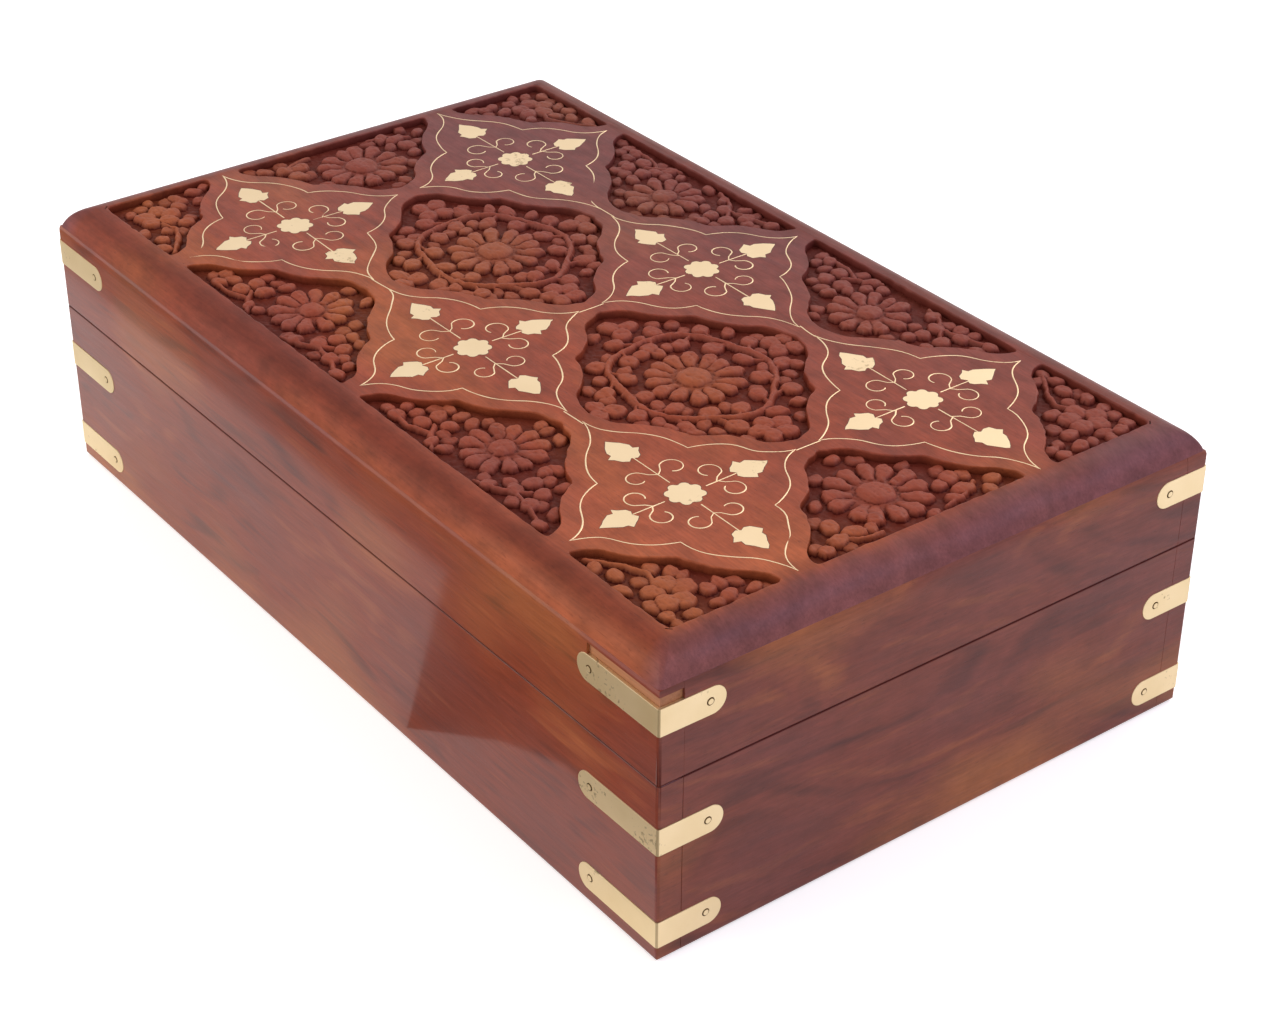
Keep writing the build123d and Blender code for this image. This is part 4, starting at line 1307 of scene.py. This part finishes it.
        # painted shade in the hollows between forms and low on the ground
        shade_shares = self.shade_shares(points, heights)
        inside = pocket.reach_at(points[:, 0], points[:, 1]) + self.overlap > 0
        layer = bm.verts.layers.float.new("painted_shade")
        places = (points + np.array(pocket.centre)) * MM
        for vert, (x, y), z, painted_shade in zip(bm.verts, places, heights * MM, shade_shares):
            vert.co = (x, y, self.top + z)
            vert[layer] = painted_shade
        bmesh.ops.delete(bm, geom=[v for v, keep in zip(bm.verts, inside) if not keep], context="VERTS")
        strays = [v for v in bm.verts if len(v.link_faces) < 2]
        bmesh.ops.delete(bm, geom=strays, context="VERTS")
        bmesh.ops.smooth_vert(bm, verts=[v for v in bm.verts if not v.is_boundary], factor=self.smoothing,
                              use_axis_x=False, use_axis_y=False, use_axis_z=True)
        floor = self.top - self.pocket_depth - self.floor_sink
        skirt = bmesh.ops.extrude_edge_only(bm, edges=[e for e in bm.edges if e.is_boundary])["geom"]
        for vert in skirt:
            if isinstance(vert, BMVert):
                vert.co.z = floor
        bmesh.ops.holes_fill(bm, edges=[e for e in bm.edges if e.is_boundary])
        bmesh.ops.recalc_face_normals(bm, faces=bm.faces)
        return finished_piece(pocket.name, bm, wood, "lid", ["lid_top_board"], 180)


# Brass inlay

@dataclass
class BrassInlay:
    """Brass wires, leaves and rosettes of the six tiles, let into the land of the top."""

    lattice: Lattice
    land: float
    wire_radius: float = 0.33 * MM
    wire_sink: float = 0.27 * MM
    sheet_depth: float = 0.9 * MM
    leaf_proud: float = 0.03 * MM
    leaf_length: float = 9.6
    leaf_width: float = 8.0
    leaf_start: tuple[float, float] = (17.5, 13.3)
    stem_start: float = 5.4
    curl_above: tuple[float, float] = (10.7, 9.5)
    curl_side: float = 4.5
    curl_radius: float = 2.65
    rosette_core: float = 3.75
    lobe_place: float = 3.2
    lobe_radius: float = 1.27
    rosette_lobes: int = 8
    plate_ease: float = 0.05 * MM
    bed_proud: float = 0.01 * MM
    bed_gap: float = 0.13
    waver: float = 0.5
    waver_size: float = 7.0
    worn_from: float = 0.84
    worn_size: float = 9.0
    arms: tuple[tuple[float, int], ...] = ((0, 1), (90, 0), (180, 1), (270, 0))
    half_leaf: tuple[tuple[float, float], ...] = (
        (0.0, 0.08), (0.15, 0.0), (0.31, 0.07), (0.4, 0.22), (0.53, 0.34), (0.37, 0.42), (0.38, 0.57),
        (0.23, 0.76), (0.1, 0.9))
    seed: int = 29

    def wire_piece(self, name: str, lines: list[tuple[np.ndarray, np.ndarray, bool]], node: str,
                   brass: Material) -> Object:
        """Lay round wires along lines, sunk so that only their backs show.

        Args:
            name: Name of the piece.
            lines: Points in millimetres, thickness at each point, and whether the line is closed.
            node: CAD node that the piece replaces.
            brass: Finish.

        Returns:
            The piece, as a mesh.
        """
        curve = bpy.data.curves.new(name, "CURVE")
        curve.dimensions = "3D"
        curve.bevel_depth = self.wire_radius
        curve.bevel_resolution = 2
        curve.use_fill_caps = True
        for points, thickness, closed in lines:
            spline = curve.splines.new("POLY")
            spline.points.add(len(points) - 1)
            for target, (x, y), share in zip(spline.points, points * MM, thickness):
                target.co = (x, y, self.land - self.wire_sink, 1)
                target.radius = share
            spline.use_cyclic_u = closed
        wire = bpy.data.objects.new(name, curve)
        bm = bmesh.new()
        mesh = bpy.data.meshes.new_from_object(wire)
        bm.from_mesh(mesh)
        bpy.data.meshes.remove(mesh)
        bpy.data.objects.remove(wire)
        bmesh.ops.remove_doubles(bm, verts=bm.verts, dist=0.001 * MM)
        bmesh.ops.recalc_face_normals(bm, faces=bm.faces)
        return finished_piece(name, bm, brass, "lid", [node], 60)

    def wavering(self, points: np.ndarray, seed: int) -> np.ndarray:
        """Shift points a little, smoothly along the top, as a wire bent by hand lies."""
        x, y = points.T
        return points + self.waver * np.stack([value_noise(x, y, self.waver_size, seed),
                                               value_noise(x, y, self.waver_size, seed + 1)], 1)

    def thickness(self, points: np.ndarray, seed: int) -> np.ndarray:
        """How thick the wire shows at each point: even, with a few worn or buried spots."""
        x, y = points.T
        even = 1 + 0.05 * value_noise(x, y, 3.0, seed)
        worn = value_noise(x, y, self.worn_size, seed + 5)
        return even - 0.24 * np.clip((worn - self.worn_from) / 0.08, 0, 1)

    def build_outlines(self, brass: Material) -> list[Object]:
        """Lay the wire round each tile and the short wires that join their tips.

        Returns:
            The outline and link pieces.
        """
        outline = self.lattice.outline(9)
        lines = []
        for index, centre in enumerate(self.lattice.centres()):
            points = self.wavering(outline + centre, self.seed + 3 * index)
            lines.append((points, self.thickness(points, self.seed + 40 + index), True))
        links = []
        along, across = self.lattice.pitch
        for x, y in self.lattice.centres():
            if x + along < self.lattice.length / 2:
                span = self.lattice.gap_along / 2 + 0.6
                links.append(np.linspace((x + along / 2 - span, y), (x + along / 2 + span, y), 6))
            if y + across < self.lattice.width / 2 and x >= 0:
                span = self.lattice.gap_across / 2 + 0.2
                links.append(np.linspace((x, y + across / 2 - span), (x, y + across / 2 + span), 6))
        links = [self.wavering(points, self.seed + 90) for points in links]
        return [
            self.wire_piece("brass_outline_wires", lines, "inlay_outline_wires", brass),
            self.wire_piece("brass_link_wires", [(p, np.ones(len(p)), False) for p in links],
                            "inlay_link_wires", brass),
        ]

    def scroll(self, end: float, above: float, random: np.random.Generator) -> list[np.ndarray]:
        """Stem that runs up +Y, and the curl on each side of it.

        Returns:
            Lines of points about the tile's middle.
        """
        lines = [np.linspace((random.uniform(-0.2, 0.2), self.stem_start), (0, end + 0.6), 8)]
        for side in (-1, 1):
            radius = self.curl_radius * random.uniform(0.9, 1.08)
            centre = np.array((self.curl_side + random.uniform(-0.3, 0.3), above + random.uniform(-0.4, 0.4)))
            sweep = np.radians(np.linspace(135, 135 - random.uniform(245, 290), 24))
            tighten = np.linspace(1.05, 0.76, 24)[:, None]
            loop = centre + radius * tighten * np.stack([np.cos(sweep), np.sin(sweep)], 1)
            branch = np.array((0.0, above - 1.1 + random.uniform(-0.5, 0.3)))
            middle = (branch + loop[0]) / 2 + (0.1, -0.45)
            line = np.vstack([branch, middle, loop])
            lines.append(line * (side, 1))
        return lines

    def build_scrolls(self, brass: Material) -> Object:
        """Lay the stems and curls of every tile.

        Returns:
            The piece.
        """
        random = np.random.default_rng(self.seed)
        lines = []
        for centre in self.lattice.centres():
            for turn, kind in self.arms:
                for line in self.scroll(self.leaf_start[kind], self.curl_above[kind], random):
                    points = turned(line, turn) + centre
                    lines.append((points, self.thickness(points, self.seed + 70), False))
        return self.wire_piece("brass_scroll_wires", lines, "inlay_scroll_wires", brass)

    def leaf_outline(self, random: np.random.Generator) -> np.ndarray:
        """Ivy leaf about its base, pointing up +Y: three points, two shoulders and a notched heel.

        Returns:
            Points in millimetres.
        """
        shares = [*self.half_leaf, (0.0, 1.0), *[(-x, y) for x, y in self.half_leaf[:0:-1]]]
        points = np.array(shares) * (self.leaf_width, self.leaf_length)
        points[1:] += random.uniform(-0.22, 0.22, (len(points) - 1, 2))
        return points * random.uniform(0.95, 1.05)

    def sawn(self, name: str, outlines: list[np.ndarray], top: float, material: Material,
             node: str | None, ease: float) -> Object:
        """Saw flat shapes from sheet and let them into the land.

        Args:
            name: Name of the piece.
            outlines: Outline of each shape, in millimetres.
            top: Height of the shapes' faces.
            material: Finish.
            node: CAD node that the piece replaces, if any.
            ease: Rounding of the filed rim, or 0.

        Returns:
            The piece.
        """
        bm = bmesh.new()
        rims = []
        for points in outlines:
            face = bmesh.ops.contextual_create(bm, geom=LidTop.loop(bm, points * MM, top))["faces"][0]
            rims += list(face.edges)
            lower = bmesh.ops.extrude_face_region(bm, geom=[face], use_keep_orig=True)["geom"]
            bmesh.ops.translate(bm, verts=[g for g in lower if isinstance(g, BMVert)],
                                vec=(0, 0, -self.sheet_depth))
        bmesh.ops.recalc_face_normals(bm, faces=bm.faces)
        if ease:
            round_over(bm, rims, ease, 2)
        return finished_piece(name, bm, material, "lid", [node] if node else [])

    def bed(self, plate: np.ndarray) -> np.ndarray:
        """Outline of the cut that holds a plate, a little wider than the plate all round."""
        middle = plate.mean(0)
        away = plate - middle
        return middle + away * (1 + self.bed_gap / np.hypot(*away.T)[:, None])

    def build_plates(self, brass: Material, lac: Material) -> list[Object]:
        """Let in the leaves and rosettes, each in its thin line of lac.

        Returns:
            The leaves, the rosettes and the lac.
        """
        random = np.random.default_rng(self.seed + 1)
        leaves, rosettes = [], []
        lobed = np.linspace(0, 2 * pi, 128, endpoint=False)
        step = 2 * pi / self.rosette_lobes
        for centre in self.lattice.centres():
            for turn, kind in self.arms:
                outline = self.leaf_outline(random) + (0, self.leaf_start[kind])
                leaves.append(turned(outline, turn + random.uniform(-2, 2)) + centre)
            off = np.abs((lobed + random.uniform(0, 1)) % step - step / 2)
            bulge = self.lobe_radius ** 2 - (self.lobe_place * np.sin(off)) ** 2
            lobe = self.lobe_place * np.cos(off) + np.sqrt(np.clip(bulge, 0, None))
            radii = np.maximum(self.rosette_core, lobe) + smooth_wave(len(lobed), 5, 0.07, random)
            rosettes.append(np.stack([radii * np.cos(lobed), radii * np.sin(lobed)], 1) + centre)
        beds = [self.bed(plate) for plate in leaves + rosettes]
        top = self.land + self.leaf_proud
        return [
            self.sawn("brass_leaves", leaves, top, brass, "inlay_leaves", self.plate_ease),
            self.sawn("brass_rosettes", rosettes, top, brass, "inlay_rosettes", self.plate_ease),
            self.sawn("lac_beds", beds, self.land + self.bed_proud, lac, None, 0),
        ]


# Boards of the base and lid

@dataclass
class Carcase:
    """The boards of the base and of the lid, with the softened edges of sanded wood."""

    edge_round: float = 0.22 * MM
    # painted shade along the lid's seam
    seam_shade: float = 0.8
    least_out: float = 70 * MM
    groove_sink: tuple[float, float] = (0.6 * MM, 2 * MM)

    def build(self, body: str, woods: dict[str, Material], end_grain: Material,
              bare: Material) -> list[Object]:
        """Dress the boards of one body.

        Args:
            body: base or lid.
            woods: Finish of each board, by its name without the body's.
            end_grain: Finish of the sawn ends of the boards.
            bare: Wood that the polish missed, in the grooves of the straps.

        Returns:
            The boards.
        """
        boards = []
        for name, wood in woods.items():
            node = f"{body}_{name}"
            bm = cad_copy(node)
            ease_edges(bm, self.edge_round)
            low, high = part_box(node)
            for face in bm.faces:
                self.sort_face(face, low, high, name in ("front_wall", "back_wall"))
            self.paint_seam_shade(bm, high.z if body == "base" else low.z)
            boards.append(finished_piece(f"{node}_sanded", bm, wood, body, [node],
                                         others=(end_grain, bare)))
        return boards

    def paint_seam_shade(self, bm: BMesh, seam: float) -> None:
        """Paint shade on the rounded edges along the seam between base and lid, which turns them dark and
        dull.
        """
        layer = bm.verts.layers.float.new("painted_shade")
        for vert in bm.verts:
            if 0.01 * MM < abs(vert.co.z - seam) < 0.9 * self.edge_round:
                vert[layer] = self.seam_shade

    def sort_face(self, face: BMFace, low: Vector, high: Vector, long_board: bool) -> None:
        """Mark a face as end grain (1) or as the floor of a strap's groove (2), or leave it (0).

        Args:
            face: Face of a board.
            low: Lowest corner of the board.
            high: Highest corner.
            long_board: Whether the board's ends lie towards -X and +X.
        """
        place = face.calc_center_median()
        for axis in (0, 1):
            outward = face.normal[axis] * (1 if place[axis] > 0 else -1)
            limit = high[axis] if place[axis] > 0 else low[axis]
            outer = abs(limit) > self.least_out and outward > 0.7
            sink = abs(limit - place[axis])
            if outer and axis == 0 and long_board:
                face.material_index = 1
            if outer and self.groove_sink[0] < sink < self.groove_sink[1]:
                face.material_index = 2


@dataclass
class CornerStraps:
    """Brass straps round the corners and the pins through them."""

    edge_round: float = 0.14 * MM
    pin_round: float = 0.3 * MM
    fold: float = 0.5 * MM
    fold_grime: float = 0.5
    levels: tuple[tuple[str, str], ...] = (("lid_strap", "lid"), ("base_upper_strap", "base"),
                                           ("base_lower_strap", "base"))
    corners: tuple[str, ...] = ("front_left", "front_right", "back_left", "back_right")

    def build(self, brass: Material) -> list[Object]:
        """Dress every strap and pin.

        Returns:
            The pieces.
        """
        pieces = []
        for level, body in self.levels:
            for corner in self.corners:
                node = f"{level}_{corner}"
                bm = cad_copy(node)
                ease_edges(bm, self.edge_round)
                self.stain_fold(bm)
                pieces.append(finished_piece(f"{node}_filed", bm, brass, body, [node]))
            pieces.append(self.pins(f"{level}_pins", body, brass))
        return pieces

    def stain_fold(self, bm: BMesh) -> None:
        """Mark the tarnish that stays along the fold of a strap."""
        edge = [max(abs(v.co[axis]) for v in bm.verts) for axis in (0, 1)]
        grime = bm.verts.layers.float.new("grime")
        for vert in bm.verts:
            away = max(edge[axis] - abs(vert.co[axis]) for axis in (0, 1))
            vert[grime] = self.fold_grime if away < self.fold else 0.0

    def pins(self, node: str, body: str, brass: Material) -> Object:
        """Make the pins of one level: round heads hammered and filed, each in a dark ring.

        Returns:
            The pins, as one piece.
        """
        bm = cad_copy(node)
        round_over(bm, outer_edges(bm, 60), self.pin_round, 3)
        grime = bm.verts.layers.float.new("grime")
        for vert in bm.verts:
            flat = any(len(f.verts) > 8 for f in vert.link_faces)
            vert[grime] = 0.0 if flat else 1.0
        return finished_piece(f"{node}_filed", bm, brass, body, [node])


@dataclass
class Hinges:
    """Two brass butt hinges with their pins and screws."""

    edge_round: float = 0.12 * MM
    sides: tuple[str, ...] = ("left", "right")

    def build(self, brass: Material) -> list[Object]:
        """Dress the leaves, pins and screws.

        Returns:
            The pieces.
        """
        parts = [(f"{body}_hinge_leaf_{side}", body) for side in self.sides for body in ("base", "lid")]
        parts += [(f"hinge_pin_{side}", "base") for side in self.sides]
        parts += [(f"{body}_hinge_screws", body) for body in ("base", "lid")]
        pieces = []
        for node, body in parts:
            bm = cad_copy(node)
            ease_edges(bm, self.edge_round, 50.0)
            pieces.append(finished_piece(f"{node}_filed", bm, brass, body, [node]))
        return pieces


@dataclass
class VelvetLining:
    """Velvet drawn over card and glued to the floor, the lid and the walls inside."""

    thickness: float = 0.85 * MM
    step: float = 4 * MM
    edge_round: float = 0.4 * MM
    puff: float = 0.12 * MM
    puff_power: int = 8
    margin: float = 0.1 * MM
    places: tuple[str, ...] = ("flat", "front", "back", "left", "right")

    def build(self, velvet: Material) -> list[Object]:
        """Make the ten linings.

        Returns:
            The sheets.
        """
        return [self.sheet(body, place, velvet) for body in ("base", "lid") for place in self.places]

    def sheet(self, body: str, place: str, velvet: Material) -> Object:
        """Make one lining: a sheet with rolled edges that swells a little between them.

        Returns:
            The sheet.
        """
        node = f"{body}_{place}_lining"
        low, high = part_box(node)
        size = high - low
        thin = min(range(3), key=lambda axis: size[axis])
        first, second = [axis for axis in range(3) if axis != thin]
        bm = bmesh.new()
        counts = [max(4, int(size[axis] / self.step)) for axis in (first, second)]
        bmesh.ops.create_grid(bm, x_segments=counts[0], y_segments=counts[1], size=0.5)
        middle = (low + high) / 2
        for vert in bm.verts:
            u, v = vert.co.x, vert.co.y
            rise = self.puff * (1 - (2 * u) ** self.puff_power) * (1 - (2 * v) ** self.puff_power)
            point = middle.copy()
            point[first] += u * (size[first] - 2 * self.margin)
            point[second] += v * (size[second] - 2 * self.margin)
            point[thin] += rise * self.facing(node, thin)
            vert.co = point
        bm.normal_update()
        bmesh.ops.solidify(bm, geom=bm.faces[:], thickness=self.thickness)
        bmesh.ops.recalc_face_normals(bm, faces=bm.faces)
        move = Vector((0, 0, 0))
        move[thin] = middle[thin] - sum(v.co[thin] for v in bm.verts) / len(bm.verts)
        bmesh.ops.translate(bm, verts=bm.verts, vec=move)
        ease_edges(bm, self.edge_round, 50.0)
        piece = finished_piece(f"{node}_velvet", bm, velvet, body, [node], 60)
        return piece

    @staticmethod
    def seat(body: str, place: str) -> str:
        """Board that a lining is glued to."""
        flats = {"base": "base_bottom_board", "lid": "lid_top_board"}
        return flats[body] if place == "flat" else f"{body}_{place}_wall"

    @staticmethod
    def facing(node: str, axis: int) -> int:
        """Which way along an axis a lining faces: towards the middle of its half of the box."""
        if axis == 2:
            return 1 if node.startswith("base") else -1
        low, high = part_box(node)
        return -1 if low[axis] + high[axis] > 0 else 1


# Camera, light and floor

@dataclass(frozen=True)
class Lamp:
    """Soft rectangular lamp that faces a target."""

    name: str
    place: tuple[float, float, float]
    target: tuple[float, float, float]
    size: tuple[float, float]
    power: float
    colour: str

    def build(self) -> None:
        """Hang the lamp."""
        data = bpy.data.lights.new(self.name, "AREA")
        data.shape = "RECTANGLE"
        data.size, data.size_y = self.size
        data.energy = self.power
        data.color = linear(self.colour)[:3]
        lamp = bpy.data.objects.new(self.name, data)
        aim = (Vector(self.target) - Vector(self.place)).to_track_quat("-Z", "Y")
        lamp.matrix_world = Matrix.Translation(self.place) @ aim.to_matrix().to_4x4()
        bpy.context.scene.collection.objects.link(lamp)


@dataclass
class Studio:
    """White sweep with soft light, seen as in the photograph."""

    camera_place: tuple[float, float, float] = (0.44826, -0.32560, 0.36440)
    forward: tuple[float, float, float] = (-0.67396, 0.51232, -0.53227)
    down: tuple[float, float, float] = (0.42742, -0.31725, -0.84656)
    lens: float = 73.8
    sensor: float = 36.0
    floor_size: float = 6.0
    floor_colour: str = "#f4f4f4"
    floor_glow: tuple[float, float] = (0.35, 0.52)
    fill_light: float = 0.6
    card: tuple[tuple[float, float], ...] = (
        (-20.0, -122.0), (29.0, -79.0), (46.0, -93.5), (62.0, -100.0), (220.0, -101.0), (220.0, -230.0),
        (-500.0, -230.0), (-500.0, -122.0))
    card_height: float = 0.3 * MM
    card_colour: str = "#8a7e6c"
    lamps: tuple[Lamp, ...] = (
        Lamp("back_key", (-0.15, 1.0, 0.9), (0, 0, 0.05), (0.8, 0.8), 4.4, "#fff7f0"),
        Lamp("front_card", (-0.45, -1.0, 0.6), (0, 0, 0.03), (0.9, 0.6), 5.5, "#fff3e8"),
        Lamp("cool_side", (0.75, 0.7, 0.9), (0.05, 0, 0.05), (0.6, 0.6), 4.7, "#d2c2ea"))

    def build(self) -> None:
        """Set up the camera, the lamps, the floor and the world."""
        self.build_camera()
        self.build_floor()
        self.build_dark_card()
        self.build_world()
        for lamp in self.lamps:
            lamp.build()
        bpy.context.scene.view_settings.view_transform = "Standard"

    def build_camera(self) -> None:
        """Place the camera where the photograph was taken from."""
        data = bpy.data.cameras.new("camera")
        data.lens, data.sensor_width = self.lens, self.sensor
        camera = bpy.data.objects.new("camera", data)
        ahead, up = Vector(self.forward).normalized(), -Vector(self.down).normalized()
        right = ahead.cross(up).normalized()
        turn = Matrix((right, right.cross(ahead), -ahead)).transposed().to_4x4()
        camera.matrix_world = Matrix.Translation(self.camera_place) @ turn
        bpy.context.scene.collection.objects.link(camera)
        bpy.context.scene.camera = camera

    @staticmethod
    def prop(name: str, bm: BMesh, material: Material) -> Object:
        """Turn a bmesh into an object of the studio."""
        mesh = bpy.data.meshes.new(name)
        bm.to_mesh(mesh)
        bm.free()
        mesh.materials.append(material)
        made = bpy.data.objects.new(name, mesh)
        bpy.context.scene.collection.objects.link(made)
        return made

    def build_floor(self) -> None:
        """Lay the white floor, which the camera and the brass see as plain white under its shadow."""
        bm = bmesh.new()
        bmesh.ops.create_grid(bm, x_segments=2, y_segments=2, size=self.floor_size / 2)
        material, tree, output = new_material("white_paper_sweep")
        paper = add_node(tree, "BsdfDiffuse", {"Color": linear(self.floor_colour)}).outputs[0]
        # the camera sees the paper as white under the shadow, and gloss and glass see nearly that
        seen = add_node(tree, "LightPath").outputs["Is Camera Ray"]
        glow = add_node(tree, "MapRange", {"Value": seen, "To Min": self.floor_glow[0],
                                           "To Max": self.floor_glow[1]}).outputs[0]
        light = add_node(tree, "Emission", {"Strength": glow}).outputs[0]
        lit = add_node(tree, "AddShader", {0: paper, 1: light}).outputs[0]
        both = add_node(tree, "MixShader", {0: self.background_rays(tree), 1: paper, 2: lit})
        tree.links.new(both.outputs[0], output.inputs["Surface"])
        self.prop("floor", bm, material)

    @staticmethod
    def background_rays(tree: NodeTree) -> NodeSocket:
        """1 for the rays that show the background: from the camera, from gloss and through glass."""
        rays = add_node(tree, "LightPath")
        mirrored = add_node(tree, "Math", {
            0: rays.outputs["Is Glossy Ray"], 1: rays.outputs["Is Transmission Ray"]}, operation="MAXIMUM")
        return add_node(tree, "Math", {0: rays.outputs["Is Camera Ray"], 1: mirrored.outputs[0]},
                        operation="MAXIMUM").outputs[0]

    def build_dark_card(self) -> None:
        """Lay a dark card before the box, which only its polished front mirrors."""
        bm = bmesh.new()
        edges = LidTop.loop(bm, [(x * MM, y * MM) for x, y in self.card], self.card_height)
        bmesh.ops.contextual_create(bm, geom=edges)
        material, tree, output = new_material("dark_card_paper")
        paper = add_node(tree, "BsdfDiffuse", {"Color": linear(self.card_colour)})
        tree.links.new(paper.outputs[0], output.inputs["Surface"])
        card = self.prop("dark_card", bm, material)
        card.visible_camera = False
        card.visible_diffuse = False
        card.visible_shadow = False

    def build_world(self) -> None:
        """Surround the box with white that lights it softly."""
        world = bpy.data.worlds.new("white_room")
        bpy.context.scene.world = world
        world.use_nodes = True
        tree = world.node_tree
        tree.nodes.clear()
        strength = add_node(tree, "MapRange", {"Value": self.background_rays(tree),
                                               "To Min": self.fill_light, "To Max": BACKGROUND})
        sky = add_node(tree, "Background", {"Color": linear("#ffffff"), "Strength": strength.outputs[0]})
        add_node(tree, "OutputWorld", {"Surface": sky.outputs[0]})


def main() -> None:
    """Build the finishes, the sub-assemblies and the studio in order."""
    logging.basicConfig(level=logging.INFO, format="%(name)s: %(message)s")
    Studio().build()
    bottom_z, top_z = [corner.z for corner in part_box("lid_top_board")]
    front_low, front_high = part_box("lid_front_wall")
    half_x, half_y = front_high.x, -front_low.y
    inlay_proud = 0.08 * MM
    land_z = top_z - inlay_proud
    lattice = Lattice(length=2 * half_x / MM, width=2 * half_y / MM)

    field_corner = (half_x - lattice.border * MM, half_y - lattice.border * MM, land_z)
    # the purple towards the back and at the ends of the top boards is painted sheen
    top_wood = Sheesham("sheesham_top_board", Grain.ALONG, body="#95462f", light="#b1603f", figure=0.5,
                        specular=0.12, coat=0.0, mottle=0.2, back_sheen=0.76, near_sap=0.6, rim_dusk=0.82,
                        rim_corner=field_corner, end_sheen=0.75, end_start=half_x - 10 * MM).material()
    carved_wood = Sheesham("sheesham_carved_panels", Grain.ALONG, body="#964630", light="#a75339",
                           figure=0.45, gold_share=0.35, dusk_share=0.25, back_sheen=0.5, roughness=0.5,
                           specular=0.18, coat=0.0).material()
    front_wood = Sheesham("sheesham_front_boards", Grain.ALONG, body="#863923", light="#a85c37",
                          bands=Layer(10 * MM, 7.0, 4.0, 0.55), figure=0.85, gold_share=0.35,
                          dusk_share=0.35, specular=0.1, roughness=0.4, coat=0.55, coat_roughness=0.1,
                          offset=(3.1, 1.7, 0.4)).material()
    bare_wood = Sheesham("sheesham_unpolished_groove", Grain.ALONG, dark="#7d4e38", body="#ad7858",
                         light="#c08c69", dusk_share=0.0, roughness=0.7, coat=0.0).material()
    end_wood = Sheesham("sheesham_end_boards", Grain.ACROSS, body="#7a3d30", light="#a05c3a", dark="#44201c",
                        figure=0.75, rings=0.45, growth=Layer(30 * MM, 3.2, 1.0, 0.4), bend=14 * MM,
                        gold_share=0.5, mottle=0.12, offset=(0.6, 2.2, 5.1), tilt=radians(5)).material()
    back_wood = Sheesham("sheesham_back_boards", Grain.ALONG, offset=(7.3, 0.9, 2.8)).material()
    plain_wood = Sheesham("sheesham_bottom_board", Grain.ALONG, roughness=0.6, coat=0.0,
                          offset=(1.3, 4.9, 2.8)).material()
    strap_brass = Brass("brass_strap_sheet", stained=(half_x - 4 * MM, -half_y, 30 * MM)).material()
    inlay_brass = Brass("brass_inlay_sheet", colour="#edd5b0", shadow="#e3c9a2", roughness=0.45,
                        spots=0.35).material()
    hinge_brass = Brass("brass_hinge_cast", colour="#d9bd77", shadow="#b8965a", roughness=0.32).material()

    top = LidTop(lattice, half_x, half_y, land_z, bottom_z)
    top.plan()
    top.build_board(top_wood)
    top.build_panels(carved_wood)

    inlay = BrassInlay(lattice, land_z)
    inlay.build_outlines(inlay_brass)
    inlay.build_scrolls(inlay_brass)
    inlay.build_plates(inlay_brass, Lac("dark_lac").material())

    carcase = Carcase()
    walls = {"front_wall": front_wood, "back_wall": back_wood, "left_wall": end_wood, "right_wall": end_wood}
    carcase.build("base", {**walls, "bottom_board": plain_wood}, end_wood, bare_wood)
    carcase.build("lid", walls, end_wood, bare_wood)
    CornerStraps().build(strap_brass)
    Hinges().build(hinge_brass)
    VelvetLining().build(Velvet("wine_velvet").material())


if __name__ == "__main__":
    main()
